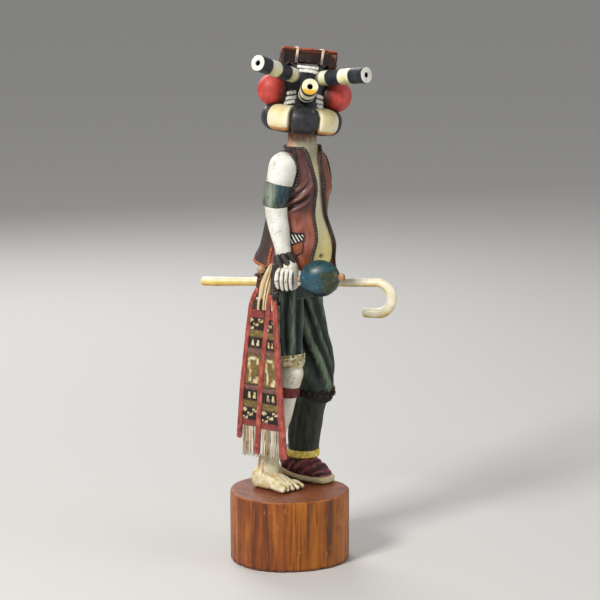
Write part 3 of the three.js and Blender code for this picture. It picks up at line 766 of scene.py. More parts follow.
def vest_patch(corners, lift, thick, columns=40, rows=24):
    """A raised four-cornered patch on the vest, corners as (turn, up) from top left round."""
    u, v = np.meshgrid(np.linspace(0, 1, columns), np.linspace(0, 1, rows))
    turn, up = (
        (first * (1 - u) + second * u) * (1 - v) + (fourth * (1 - u) + third * u) * v
        for first, second, third, fourth in np.array(corners, float).T
    )
    rim = np.minimum(np.minimum(u, 1 - u) * columns, np.minimum(v, 1 - v) * rows)
    top = vest_place(np.radians(turn), up, lift + thick * ramp(rim, 0, 2.5))
    under = vest_place(np.radians(turn), up, lift - 0.9)
    return *thick_sheet(top, under), u.ravel(), v.ravel()


pocket_points, pocket_faces, across, down = vest_patch(
    [(172, 163.6), (136, 166.8), (139.5, 157.5), (170, 152)], lift=0.0, thick=0.9
)
outline = 1 - ramp(np.minimum(np.minimum(across, 1 - across), np.minimum(down + 0.2, 1 - down)), 0.05, 0.12)
pocket_colours = np.vstack([mix((138, 74, 48), (58, 28, 18), outline)] * 2)
pocket_piece = body("vest_pocket", pocket_points, pocket_faces, pocket_colours, leather_wash)
fasten(pocket_piece, "figure")
flap_points, flap_faces, across, down = vest_patch(
    [(172, 170.4), (133.4, 169.8), (136, 165.4), (172, 160.2)], lift=0.7, thick=0.8, columns=70, rows=40
)
slant = np.abs(((across * 6 - down * 1.7) % 1) - 0.5)
marked = ramp(slant, 0.31, 0.39) * (down > 0.14) * (down < 0.84) * (across > 0.04) * (across < 0.96)
flap_colours = np.vstack([mix((16, 12, 14), (232, 228, 218), marked)] * 2)
flap_piece = body("pocket_flap", flap_points, flap_faces, flap_colours, black_band)
fasten(flap_piece, "figure")

# Rope round the vest's hem.
# An orange cord is carved along the lower edge, with a slit edge that rises from it at the hip.
rope_paint = painted(
    "orange_rope", grime_and_shade=(92, 36, 14), bare=(214, 140, 90), depth=0.7, wear=0.35, cloud=0.12, bump=0.25
)
hem_turns = np.radians(np.linspace(front_right[0][0] + 4, front_left[0][0] - 4, 90))
rope_line, rope_gone = even_line(vest_place(hem_turns, np.full(90, hem_up + 1.2), -0.2), 0.35)
rope_radius = 1.0 + 0.2 * np.sin(2 * math.pi * rope_gone / 2.4)
slit_line, slit_gone = even_line(
    vest_place(np.radians(np.linspace(184, 189, 14)), np.linspace(146, 160, 14), 0.3), 0.35
)
slit_half = np.minimum(0.9 + 0.1 * np.sin(2 * math.pi * slit_gone / 2.2), 0.25 + slit_gone[::-1] * 0.4)
rope_parts = [
    strip(rope_line, outward(rope_line), rope_radius, rope_radius, sides=14),
    strip(slit_line, outward(slit_line), slit_half, slit_half * 0.9, sides=12),
]
rope_piece = body("hem_rope", *gathered(rope_parts), (166, 80, 42), rope_paint)
fasten(rope_piece, "figure")

# Arms.
# Smooth carved limbs painted white, with fine cracks across the paint.
shoulder_right, elbow_right = at(-22, 2.6, 211), at(-25, -1.6, 187)
wrist_right, hand_right = at(-26, 6.4, 156), at(-26, 10.2, 141.3)
shoulder_left, elbow_left = at(21, -3.6, 209), at(27.5, -6, 183)
wrist_left, hand_left = at(29, -2.6, 146), at(30, -0.6, 130.4)


def between(first, second, share):
    return first + (second - first) * share


def limb(stations, sides=64, steps=10):
    """Rings through stations [place, half width, half depth, power], and where each point is on them."""
    rows = [[*place, *(list(rest) + [2.0])[:3]] for place, *rest in stations]
    rows = smooth_rows(rows, steps)
    centre = rows[:, :3]
    along = unit(np.gradient(centre, axis=0))
    across = unit(np.array([1.0, 0, 0]) - along * along[:, :1])
    ahead = np.cross(along, across)
    angle = once_round(sides)
    c, s = oblong(angle, rows[:, 5:6])
    x, y = c * rows[:, 3:4], s * rows[:, 4:5]
    out = across[:, None] * x[..., None] + ahead[:, None] * y[..., None]
    share = np.linspace(0, 1, len(rows))[:, None] * np.ones(sides)
    return centre[:, None] + out, unit(out), share, np.broadcast_to(angle, share.shape)


def arm_stations(side, shoulder, elbow, wrist):
    return [
        (shoulder + np.array([-side * 5, 0, 3]), 6.4, 6.6),
        (between(shoulder, shoulder + np.array([-side * 5, 0, 3]), 0.45), 8.1, 8.4),
        (shoulder, 8.8, 9),
        (between(shoulder, elbow, 0.5), 7.8, 8.5),
        (between(elbow, shoulder, 0.2), 7, 7.3),
        (between(elbow, wrist, 0.2), 6.8, 6.8),
        (between(elbow, wrist, 0.5), 6.4, 6.2),
        (between(elbow, wrist, 0.8), 5.2, 5),
        (wrist, 5, 4.8),
    ]


white_skin = painted(
    "white_skin", grime_and_shade=(112, 100, 84), bare=(176, 164, 140), depth=0.5, patches=0.1, wear=0.2, cracks=0.9,
    roughness=0.45, cloud=0.05, bump=0.25,
)
for side, name, joints in (
    (-1, "arm_right", (shoulder_right, elbow_right, wrist_right)),
    (1, "arm_left", (shoulder_left, elbow_left, wrist_left)),
):
    rings, out = limb(arm_stations(side, *joints), sides=72, steps=12)[:2]
    rings = pushed(rings, out, rough(rings, (9, 9, 16)) * 0.35)
    points, faces = skin(rings)
    colours = mix((236, 235, 230), (212, 210, 198), 0.5 + rough(points, (6, 6, 9), 3))
    split = ramp(rough(points, (5, 5, 0.8), 5), 0.22, 0.4) * ramp(rough(points, 7, 2), -0.2, 0.2)
    colours = mix(colours, (176, 164, 142), split * 0.5)
    arm_piece = body(name, points, faces, colours, white_skin)
    fasten(arm_piece, "figure")

# Armbands.
# A broad band round each upper arm, brushed blue-green over olive, with a thin dark line at each edge.
band_paint = painted(
    "armband_paint", grime_and_shade=(34, 34, 22), bare=(140, 148, 122), depth=0.6, patches=0.4, cracks=0.1,
    roughness=0.42, cloud=0.22, bump=0.4,
)
view_right = np.array([math.cos(view_turn), math.sin(view_turn), 0])
for name, shoulder, elbow in (
    ("armband_right", shoulder_right, elbow_right),
    ("armband_left", shoulder_left, elbow_left),
):
    top, end = between(shoulder, elbow, 0.42), between(shoulder, elbow, 1.02)
    stations = [
        (top, 8.3, 9), (between(top, end, 0.03), 8.7, 9.4), (between(top, end, 0.5), 8.2, 8.7),
        (between(top, end, 0.97), 7.7, 8), (end, 7.2, 7.5),
    ]
    rings, out, share = limb(stations, sides=72, steps=10)[:3]
    points, faces = skin(rings)
    turn_part = with_ends(out @ view_right)
    height = with_ends(share, 0, 1)
    brush = rough(points, (1.0, 1.0, 14), 6)
    # Paler on the side towards the viewer's left and dark on the side towards the right: painted light and
    # painted shade.
    colours = mix((104, 112, 96), (132, 146, 128), ramp(turn_part, -0.95, -0.4))
    colours = mix(colours, (38, 66, 78), ramp(turn_part + 0.3 * brush, -0.3, 0.1))
    colours = mix(colours, (26, 42, 46), ramp(turn_part, 0.4, 0.9))
    olive = ramp(height + 0.3 * brush, 0.5, 0.9) * ramp(turn_part, -0.5, 0.1)
    colours = mix(colours, (72, 70, 34), olive * 0.8)
    colours = mix(colours, colours * 0.6 + 50, np.clip(brush * 1.6, 0, 0.7))
    colours = mix(colours, colours * 0.55, np.clip(-brush * 2, 0, 0.8))
    edge = np.minimum(height, 1 - height)
    colours = mix(colours, (34, 24, 18), 1 - ramp(edge, 0.17, 0.22))
    band_piece = body(name, points, faces, colours, band_paint)
    fasten(band_piece, "figure")

# Wristlets.
# A thick dark twisted band round each wrist, carved in slanting lobes.
wristlet_paint = painted(
    "wristlet_paint", grime_and_shade=(10, 8, 8), bare=(120, 108, 98), depth=1.0, wear=0.5, cloud=0.3, bump=0.4
)


def wristlet(name, wrist, hand, reach_up, reach_down, half):
    line = unit(hand - wrist)
    top, end = wrist - line * reach_up, wrist + line * reach_down
    rows = [(0, 0.78), (0.08, 0.96), (0.3, 1.08), (0.5, 1.1), (0.7, 1.08), (0.92, 0.96), (1, 0.78)]
    stations = [(between(top, end, s), half * k, half * k) for s, k in rows]
    rings, out, share, angle = limb(stations, sides=120, steps=8)
    lobes = np.abs(np.sin(4 * angle + 2.4 * share))
    rings = pushed(rings, out, (lobes**0.6 - 0.6) * 1.9)
    points, faces = skin(rings)
    # Dark in the grooves between the lobes as painted shade, with a painted highlight along their crests.
    groove = with_ends(1 - ramp(lobes, 0.15, 0.6), 1, 1)
    colours = mix((52, 45, 42), (10, 8, 8), groove)
    colours = mix(colours, (112, 102, 94), with_ends(ramp(lobes, 0.95, 1)) * 0.45)
    piece = body(name, points, faces, colours, wristlet_paint)
    fasten(piece, "figure")


wristlet("wristlet_right", wrist_right, hand_right, reach_up=1.8, reach_down=7.6, half=5.9)
wristlet("wristlet_left", wrist_left, hand_left, reach_up=1.8, reach_down=7.0, half=5.6)

# Hands.
# Closed fists carved in one with the arms: a palm, four fingers curled over what it holds and a thumb.
cane_turn, cane_rise = math.radians(15), math.radians(3)
handle_turn, handle_rise = math.radians(18), math.radians(5)
finger_pitch = 2.95


def heading(turn, rise):
    """A direction turned to the figure's left and lifted."""
    return np.array([math.sin(turn) * math.cos(rise), -math.cos(turn) * math.cos(rise), math.sin(rise)])


def fused(name, parts, colours_of, material, voxel, passes):
    """Closed parts melted into one skin, as if carved from one piece of wood."""
    points, faces = gathered(parts)
    carving = body(name, points, faces, (200, 200, 200), material)
    melt = carving.modifiers.new("melt", "REMESH")
    melt.mode = "VOXEL"
    melt.voxel_size = voxel * MM
    soften = carving.modifiers.new("soften", "SMOOTH")
    soften.factor = 0.5
    soften.iterations = passes
    bpy.context.view_layer.update()
    baked = bpy.data.meshes.new_from_object(carving.evaluated_get(bpy.context.evaluated_depsgraph_get()))
    carving.modifiers.clear()
    carving.data = baked
    baked.name = name
    baked.shade_smooth()
    if not baked.materials:
        baked.materials.append(material)
    for old in list(baked.color_attributes):
        baked.color_attributes.remove(old)
    place = np.zeros(len(baked.vertices) * 3)
    baked.vertices.foreach_get("co", place)
    coat(baked, colours_of(place.reshape(-1, 3) / MM))
    return carving


def fist_parts(side, wrist, centre, turn):
    down = np.array([0, 0, -1.0])
    out = np.array([side * 1.0, 0, 0])
    ahead = heading(turn, 0)
    palm = [
        (wrist + down, 4.8, 4.6), (centre - down * 7, 5.8, 5.6), (centre, 5.4, 6.2, 2.6),
        (centre + down * 4.6, 4.2, 5.8, 2.6), (centre + down * 6, 2.6, 4.6),
    ]
    parts = [limb(palm, sides=32, steps=6)[0]]
    for i in range(4):
        root = centre + ahead * (i - 1.5) * finger_pitch
        reach = [4.6, 5.4, 5.5, 5.0][i]
        finger = [
            (root + out * 2.6 - down * 7.4, 1.2, 1.2), (root + out * 4.9 - down * 4.6, 1.65, 1.5),
            (root + out * 6.2 - down * 0.8, 1.6, 1.5), (root + out * 5.9 + down * 2, 1.45, 1.45),
            (root + out * 4.6 + down * reach, 1.25, 1.3),
            (root + out * 3.6 + down * (reach + 0.9), 0.6, 0.6),
        ]
        parts.append(limb(finger, sides=16, steps=6)[0])
    thumb = [
        (centre - down * 6 + ahead * 3 - out * 2, 1.6, 1.6),
        (centre - down * 3 + ahead * 6.4 - out * 1.6, 1.9, 1.9),
        (centre + down * 1 + ahead * 6.8 - out * 0.4, 1.8, 1.8),
        (centre + down * 3.4 + ahead * 5.8, 1.2, 1.2),
    ]
    parts.append(limb(thumb, sides=16, steps=6)[0])
    return parts


def fist_colours(centre, turn, side):
    def colours_of(place):
        run = (place - centre) @ heading(turn, 0)
        gap = (run / finger_pitch + 0.5) % 1
        gap = np.minimum(gap, 1 - gap)
        low = 1 - ramp(place[:, 2] - centre[2], 3.5, 7.5)
        outside = ramp((place - centre)[:, 0] * side, 2.2, 4.2)
        # The gaps between the fingers are darkened: painted shade.
        dark = (1 - ramp(gap, 0.06, 0.24)) * low * outside * (np.abs(run) < 5.2)
        colours = mix((232, 230, 222), (212, 206, 190), 0.5 + rough(place, 2.5, 3))
        colours = mix(colours, (150, 120, 84), ramp(rough(place, 1.6, 8), 0.25, 0.6) * 0.5)
        level = (place[:, 2] - centre[2] + 0.4) / 0.5
        crossing = np.exp(-(level**2)) * ramp(rough(place, 1.2, 5), -0.1, 0.3)
        colours = mix(colours, (96, 84, 66), crossing * outside * 0.7)
        return mix(colours, (24, 18, 14), dark)

    return colours_of


hand_paint = painted(
    "hand_paint", grime_and_shade=(40, 30, 22), bare=(236, 232, 222), depth=1.0, patches=0.25, wear=0.2, cracks=0.3,
    cloud=0.08,
)
for name, side, wrist, hand, turn in (
    ("hand_right", -1, wrist_right, hand_right, handle_turn),
    ("hand_left", 1, wrist_left, hand_left, cane_turn),
):
    parts, colours_of = fist_parts(side, wrist, hand, turn), fist_colours(hand, turn, side)
    hand_piece = fused(name, parts, colours_of, hand_paint, voxel=0.42, passes=4)
    fasten(hand_piece, "figure")

# Trousers.
# Carved cloth with long folds, painted dark green, paler on the ridges with dry-brush and painted highlight
# and darker in the valleys with painted shade.
# The right leg ends above the knee in a khaki cuff, the left runs to the ankle with a yellow hem.
trouser_paint = painted(
    "green_cloth", grime_and_shade=(10, 14, 12), bare=(132, 146, 112), depth=0.9, patches=0.1, wear=0.55,
    roughness=0.55, bump=0.35,
)


def folds(angle, share, lines):
    """Lift of folds down a limb: degrees at top and foot, lift, width, and the stretch if not all."""
    lift = np.zeros(angle.shape)
    for top, foot, rise, width, *stretch in lines:
        start, end = stretch or (-1, 2)
        gap = np.degrees(angle) - (top + (foot - top) * share)
        gap = (gap + 180) % 360 - 180
        fade = ramp(share, start, start + 0.08) * (1 - ramp(share, end - 0.12, end))
        lift += rise * np.exp(-((gap / width) ** 2)) * fade
    return lift


def leg(name, stations, fold_rows, colours_of, sides=140, steps=13):
    rings, out, share, angle = limb(stations, sides=sides, steps=steps)
    lift = folds(angle, share, fold_rows) + rough(rings, (5, 5, 14), 2) * 0.6
    lift = lift * (1 - ramp(share, 0.82, 0.93))
    rings = pushed(rings, out, lift)
    points, faces = skin(rings)
    lift = with_ends(lift)
    colours = colours_of(points, lift)
    piece = body(name, points, faces, colours, trouser_paint)
    fasten(piece, "figure")
    return piece


def green_cloth(points, lift):
    brush = rough(points, (0.8, 0.8, 12), 4)
    cloud = rough(points, (9, 9, 16), 1)
    colours = mix((26, 38, 33), (40, 53, 43), 0.5 + cloud)
    # Paler on the fold ridges: dry-brushed paint and painted highlight. Darker in the valleys: painted
    # shade.
    colours = mix(colours, (50, 64, 54), ramp(lift + 0.6 * brush, 0.1, 0.7) * 0.7)
    colours = mix(colours, (118, 134, 108), ramp(lift + 1.8 * brush, 0.8, 1.7) * 0.65)
    colours = mix(colours, (8, 12, 12), ramp(-lift - 0.3 * brush, 0.1, 0.7))
    return mix(colours, (84, 98, 78), ramp(brush, 0.3, 0.6) * 0.35)


def left_cloth(points, lift):
    colours = green_cloth(points, lift)
    up = points[:, 2] - sole
    olive = mix((22, 28, 20), (58, 62, 26), ramp(rough(points, (1.2, 1.2, 14), 7), -0.1, 0.6))
    return mix(colours, olive, (1 - ramp(up, 48, 60)) * 0.85)


right_folds = [
    (118, 121, 1.5, 11), (97, 99, -1.2, 8), (141, 144, -1.0, 7, -0.1, 0.8), (154, 150, 0.8, 10),
    (172, 176, -0.9, 9), (196, 200, 0.7, 13), (80, 76, 1.0, 11), (58, 56, -0.9, 11), (224, 230, -0.8, 12),
    (252, 260, 0.7, 14), (286, 290, -0.9, 12), (320, 322, 0.7, 16), (352, 350, -0.7, 12),
    (24, 30, 0.6, 14),
]
left_folds = [
    (262, 240, -1.2, 9, 0.4, 1.0), (284, 266, 0.9, 12), (306, 296, -1.2, 10), (334, 330, 0.8, 14),
    (196, 188, -0.6, 9, 0.6, 1.0), (150, 152, -0.5, 8, 0.6, 1.0), (112, 106, 0.4, 12, 0.6, 1.0),
    (76, 80, -0.5, 9, 0.6, 1.0), (132, -60, 1.7, 13, -0.1, 0.56), (152, -66, -1.3, 9, -0.1, 0.58),
    (176, -40, 1.2, 9, -0.1, 0.5), (190, -18, -1.5, 8, -0.1, 0.56), (214, -8, 1.8, 14, -0.1, 0.6),
    (236, 24, -1.4, 10, -0.1, 0.56), (256, 60, 1.3, 13, -0.1, 0.56), (118, -100, -1.4, 8, -0.1, 0.5),
    (92, -60, 0.9, 12, 0.1, 0.56),
]
leg(
    "trouser_right",
    [
        (at(-7, -6, 142), 11, 12), (at(-8.5, -5.8, 136), 12.1, 13.1), (at(-10.5, -5.2, 122), 12.3, 13.2),
        (at(-12, -3.6, 100), 11.6, 12), (at(-12.7, -1.6, 88), 11.2, 11.2),
        (at(-12.8, -1.0, 85), 10.8, 10.8),
    ],
    right_folds,
    green_cloth,
)
leg(
    "trouser_left",
    [
        (at(7, -6.4, 142), 11, 12), (at(8.6, -6, 136), 12.1, 13.1), (at(10.5, -5.6, 122), 12.3, 13.2),
        (at(12.2, -1.4, 96), 12.3, 12.4), (at(13, 3.6, 76), 12.2, 11.8), (at(13, 3.2, 64), 12.2, 11.6),
        (at(13, -1, 54), 11.4, 10.8), (at(13, -4.6, 36), 11.2, 10.8), (at(13, -6, 21.5), 10.3, 10.1),
        (at(13, -6, 19.6), 9.9, 9.7),
    ],
    left_folds,
    left_cloth,
)


def ring_band(name, stations, colours_of, material, relief=None, sides=120, steps=8):
    rings, out, share, angle = limb(stations, sides=sides, steps=steps)
    if relief is not None:
        rings = pushed(rings, out, relief(rings, share, angle))
    points, faces = skin(rings)
    piece = body(name, points, faces, colours_of(points), material)
    fasten(piece, "figure")
    return piece


cloth_trim = painted(
    "cloth_trim", grime_and_shade=(60, 44, 22), bare=(206, 196, 150), depth=0.7, patches=0.25, cracks=0.1,
    roughness=0.55, cloud=0.18,
)
ring_band(
    "knee_cuff",
    [
        (at(-12.7, -1.5, 90.8), 11.0, 11), (at(-12.7, -1.5, 90.1), 12.0, 11.9),
        (at(-12.8, -1.2, 86.8), 12, 11.8), (at(-12.9, -0.9, 84), 11.9, 11.6),
        (at(-12.9, -0.9, 83.2), 11, 10.8),
    ],
    lambda p: mix(
        mix((168, 158, 112), (216, 208, 176), 0.5 + 1.5 * rough(p + p[:, 2:3] * 0.9, (4, 4, 8), 3)),
        (124, 92, 50),
        ramp(rough(p + p[:, 2:3] * 0.9, (2.2, 2.2, 12), 8), 0.1, 0.35) * 0.8,
    ),
    cloth_trim,
    lambda p, s, a: rough(p, (3, 3, 3)) * 0.25,
)
ring_band(
    "ankle_hem",
    [
        (at(13, -6, 21.6), 10.2, 10), (at(13, -6, 21), 11, 10.8), (at(13, -6, 19), 11, 10.8),
        (at(13, -6, 17.2), 10.9, 10.7), (at(13, -6, 16.6), 10.1, 9.9),
    ],
    lambda p: mix((206, 178, 40), (236, 224, 140), 0.4 + 1.8 * rough(p, (2.4, 2.4, 1.4), 5)),
    cloth_trim,
    lambda p, s, a: rough(p, (4, 4, 3)) * 0.4,
)

# Shin and knee of the bare leg.
# Painted cream white, with a few short dark scratches over the kneecap.
shin_stations = [
    (at(-12.8, 0, 86), 8, 8), (at(-13, 1, 76), 8, 8.3), (at(-13, -1.3, 65), 7.2, 7.3),
    (at(-13.5, -5.8, 50), 7.6, 8), (at(-14.4, -10.6, 32), 6.2, 6.6), (at(-15, -13.2, 17), 5.6, 6.2),
    (at(-15.6, -13, 8), 6, 6.6),
]
rings, out = limb(shin_stations, sides=90, steps=12)[:2]
knee, kneecap = at(-13.5, 9, 77.5), at(-18.5, 6, 75.5)
rings = pushed(rings, out, 1.7 * np.exp(-np.sum((rings - knee) ** 2, -1) / 26) + rough(rings, 6) * 0.25)
points, faces = skin(rings)
up = points[:, 2] - sole
shin_colours = mix((232, 230, 220), (216, 208, 182), 0.5 + rough(points, 5, 3))
shin_colours = mix(shin_colours, (204, 196, 160), 1 - ramp(up, 24, 60))
scratch = ramp(rough(points, (0.7, 0.7, 1.3), 12), 0.26, 0.42)
scratch *= np.exp(-np.sum((points - kneecap) ** 2, -1) / 14)
shin_colours = mix(shin_colours, (126, 88, 58), scratch)
shin_piece = body("shin_right", points, faces, shin_colours, white_skin)
fasten(shin_piece, "figure")

# Garters.
# A plain dark-red band below the right knee and a shaggy black and brown one, like fur, below the left.
ring_band(
    "garter_right",
    [
        (at(-13, -0.6, 69.6), 7.7, 8), (at(-13, -0.7, 69), 8.5, 8.7), (at(-13, -1.2, 66.4), 8.6, 8.8),
        (at(-13, -1.7, 63.6), 8.5, 8.7), (at(-13, -1.8, 63), 7.7, 7.9),
    ],
    lambda p: mix((92, 28, 26), (128, 46, 40), 0.5 + rough(p, (2, 2, 5), 3)),
    painted("red_garter", grime_and_shade=(34, 10, 10), bare=(176, 96, 84), cloud=0.15),
    lambda p, s, a: 0.12 * np.sin(s * 22) + rough(p, 2.5) * 0.15,
)


def far_end(place):
    """More towards the outer side of the left knee, where the fur is brown."""
    return 0.5 * ramp((place - at(13, 3, 61)) @ view_right, 10, 13.5) - 0.1


fur_paint = painted(
    "fur_paint", grime_and_shade=(8, 6, 6), bare=(84, 58, 40), depth=0.9, patches=0.1, wear=0.3, roughness=0.6,
    cloud=0.3,
)
ring_band(
    "garter_left",
    [(at(13, 3.4, 64.6), 11.6, 11.2), (at(13, 3.3, 63.4), 12.7, 12.3), (at(13, 3, 61.6), 13, 12.6),
     (at(13, 2.6, 59.8), 12.5, 12.1), (at(13, 2.2, 58.8), 11.4, 11)],
    lambda p: mix((16, 14, 14), (78, 48, 32), ramp(rough(p, (1.4, 1.4, 2.2), 6) + far_end(p), 0.35, 0.7)),
    fur_paint,
    lambda p, s, a: (np.abs(rough(p, (1.3, 1.3, 2.0), 4)) * 2.0 - 0.5) * np.sin(math.pi * s) ** 0.5,
    sides=220,
    steps=14,
)
random.seed(11)
tuft_parts = []
for k in range(300):
    around = random.uniform(0, 2 * math.pi)
    level = random.uniform(59.4, 63.8)
    root = at(13 + 12.4 * math.cos(around), 2.9 + 12.0 * math.sin(around), level)
    out = np.array([math.cos(around), -math.sin(around), 0])
    tip = root + out * random.uniform(0.6, 1.7) + np.array([
        random.uniform(-0.9, 0.9), random.uniform(-0.9, 0.9), random.uniform(-1.6, 0.6)
    ])
    middle = between(root, tip, 0.5) + out * 0.5
    tuft = [(root, 0.42, 0.42), (middle, 0.34, 0.34), (tip, 0.08, 0.08)]
    tuft_parts.append(limb(tuft, sides=5, steps=3)[0])
tuft_points, tuft_faces = gathered(tuft_parts)
tuft_size = len(tuft_points) // len(tuft_parts)
tuft_tones = []
for part in tuft_parts:
    brown = random.random() < 0.05 + 1.1 * (0.1 + far_end(part.mean((0, 1))))
    tuft_tones.append((104, 64, 38) if brown else random.choice([(14, 12, 12), (24, 20, 19), (38, 30, 26)]))
tuft_colours = np.repeat(np.array(tuft_tones), tuft_size, 0)
tuft_piece = body("garter_fur", tuft_points, tuft_faces, tuft_colours, fur_paint)
fasten(tuft_piece, "figure")

# Bare right foot.
# Broad and wedge shaped with five short toes, cream paint rubbed brown at the ankle, with painted shade
# between the toes and along the sole.
foot_paint = painted(
    "foot_paint", grime_and_shade=(84, 50, 26), bare=(238, 228, 196), depth=0.9, patches=0.35, wear=0.35, cracks=0.4,
    roughness=0.48, cloud=0.12,
)


def above_ground(rings, low=0.0):
    """Nothing lower than the block's top."""
    rings = rings.copy()
    rings[..., 2] = np.maximum(rings[..., 2], sole + low)
    return rings


foot_parts = [above_ground(limb([
    (at(-17.6, -24.2, 4.6), 2, 2), (at(-17.6, -23.4, 4.8), 4.2, 4.2),
    (at(-17.4, -21.4, 5.2), 5.8, 6.2, 2.6), (at(-16.8, -16, 6), 6.6, 7, 2.6),
    (at(-16, -8, 4.6), 7.2, 6, 2.6), (at(-15.6, -1, 2.6), 9, 4, 2.8), (at(-15.4, 4, 1.4), 9.4, 2.6, 2.6),
], sides=48, steps=8)[0])]
foot_parts.append(limb([
    (at(-15.1, -14.6, 21), 5.2, 5.8), (at(-15.3, -15, 14), 5.9, 6.9), (at(-16, -15, 8), 6.4, 8),
    (at(-16.4, -14, 4), 4.4, 6),
], sides=40, steps=8)[0])
toe_half = [1.7, 1.75, 1.8, 1.9, 2.3]
toe_tip = [3.2, 5.2, 6.4, 7.4, 8]
toe_first, toe_pitch = -23.4, 4.05
for i in range(5):
    side, half, tip = toe_first + i * toe_pitch, toe_half[i], toe_tip[i]
    foot_parts.append(above_ground(limb([
        (at(side + 0.4, tip - 9, half + 1.2), half * 0.9, half * 0.8),
        (at(side + 0.2, tip - 5, half + 0.8), half, half * 0.85),
        (at(side, tip - 2, half * 0.8), half, half * 0.85),
        (at(side, tip - 0.6, half * 0.7), half * 0.85, half * 0.72),
        (at(side, tip + 0.1, half * 0.6), half * 0.4, half * 0.35),
    ], sides=24, steps=6)[0]))


def foot_colours(place):
    side, forward = place[:, 0] - stand_side, -stand_forward - place[:, 1]
    up = place[:, 2] - sole
    cloud = rough(place, (4, 4, 4), 4)
    colours = mix((218, 204, 160), (232, 224, 196), 0.5 + cloud)
    colours = mix(colours, (196, 160, 74), ramp(rough(place, (3, 3, 3), 9), 0.1, 0.5) * 0.55)
    toe = (side - toe_first) / toe_pitch
    gap = np.abs(toe - np.round(toe))
    between_toes = ramp(gap, 0.34, 0.48) * ramp(forward, -3.5, 0) * (1 - ramp(up, 3.4, 5))
    tendon = ramp(gap, 0.3, 0.5) * ramp(forward, -14, -6) * ramp(up, 2, 4)
    tendon *= ramp(rough(place, (1.5, 4, 2), 6), -0.2, 0.3)
    colours = mix(colours, (150, 112, 60), tendon * 0.65)
    # Dark between the toes and along the sole line: painted shade.
    colours = mix(colours, (40, 24, 14), between_toes)
    colours = mix(colours, (104, 60, 32), (1 - ramp(up + 0.8 * cloud, 0.3, 2.0)) * 0.85)
    ankle = ramp(rough(place, (2.5, 2.5, 5), 2), -0.1, 0.4) * ramp(up, 7, 14)
    colours = mix(colours, (146, 104, 80), ankle * 0.8)
    heel = (1 - ramp(forward + 2 * cloud, -23, -17)) * ramp(rough(place, 2, 5), -0.3, 0.3)
    colours = mix(colours, (132, 92, 66), heel * 0.35)
    nail = np.hypot(gap, (forward - 7) / 20)
    return mix(colours, (240, 234, 214), ramp(forward, 3, 8) * (1 - ramp(nail, 0.05, 0.2)) * 0.5)


foot_piece = fused("foot_right", foot_parts, foot_colours, foot_paint, voxel=0.5, passes=5)
fasten(foot_piece, "figure")

# Left shoe.
# A soft maroon upper with slanting creases sits in a cream welt and sole, its heel a little off the block.
shoe_paint = painted(
    "shoe_paint", grime_and_shade=(26, 10, 16), bare=(184, 112, 112), depth=0.9, patches=0.15, wear=0.5,
    roughness=0.4, cloud=0.18,
)
welt_paint = painted(
    "welt_paint", grime_and_shade=(74, 66, 34), bare=(238, 230, 196), patches=0.25, cracks=0.2, cloud=0.12
)
shoe_rows = [
    (at(13.4, -22.8, 12), 3, 4), (at(13.4, -22, 12.2), 5.4, 6.6), (at(13.6, -19, 12.8), 8, 8.8, 2.4),
    (at(14, -10, 11.2), 9.2, 9.8, 2.4), (at(15.2, 0, 7.6), 9.2, 6.6, 2.4),
    (at(16.4, 8, 4.8), 7.4, 4.2, 2.4), (at(17.2, 12.2, 3.4), 3.4, 2.4),
]
rings, out = limb(shoe_rows, sides=96, steps=12)[:2]
forward = -stand_forward - rings[..., 1]
crease = (forward + (rings[..., 0] - stand_side - 14) * -0.3 - 0.9 * (rings[..., 2] - sole)) / 6.6
wave = np.sin(2 * math.pi * crease + 3.2 * rough(rings, 8, 3)) * (0.65 + 0.8 * rough(rings, 5, 8))
rings = above_ground(pushed(rings, out, wave * 0.6 * ramp(forward, -20, -14)), 1)
points, faces = skin(rings)
wave = with_ends(wave)
shoe_colours = mix((98, 38, 44), (66, 24, 34), 0.5 + 1.2 * rough(points, 4, 5))
# Pale on the crease crests as painted highlight and dark in the creases as painted shade.
shoe_colours = mix(shoe_colours, (164, 90, 96), ramp(wave, 0.15, 0.7) * 0.8)
shoe_colours = mix(shoe_colours, (34, 12, 18), ramp(-wave, 0.4, 0.9) * 0.7)
shoe_piece = body("shoe_upper", points, faces, shoe_colours, shoe_paint)
fasten(shoe_piece, "figure")
welt_rows = [
    (at(13.2, -25, 5.6), 3.4, 1, 3), (at(13.2, -24.2, 5.6), 5.4, 1.7, 3.4),
    (at(13.4, -20, 4.8), 8.9, 2.4, 3.4), (at(13.8, -10, 3.1), 10.1, 2.7, 3.4),
    (at(15, 1, 2.4), 10.5, 2.4, 3.4), (at(16.2, 9, 2.3), 8.9, 2.4, 3.4), (at(17.1, 13, 2.3), 5.4, 2.2, 3),
    (at(17.3, 14.6, 2.3), 2.4, 1.4, 3),
]
rings, out, share, angle = limb(welt_rows, sides=96, steps=9)
rings = pushed(rings, out, rough(rings, (3, 3, 3)) * 0.3)
heel_share = 1 - ramp(-stand_forward - rings[..., 1], -22, 0)
rings[..., 2] += (0.9 + 2.6 * heel_share) * ramp(np.abs(np.cos(angle)), 0.75, 1) * (np.sin(angle) > -0.5)
rings = above_ground(rings)
points, faces = skin(rings)
up = points[:, 2] - sole
forward = -stand_forward - points[:, 1]
cloud = rough(points, (4, 4, 3), 2)
welt_colours = mix((206, 192, 142), (230, 222, 186), 0.5 + cloud)
shade = (1 - ramp(up - 0.12 * np.maximum(-forward, 0) + cloud, 1.2, 3.0)) * (1 - ramp(forward, 2, 9))
welt_colours = mix(welt_colours, (78, 76, 44), shade * 0.85)
welt_piece = body("shoe_sole", points, faces, welt_colours, welt_paint)
fasten(welt_piece, "figure")

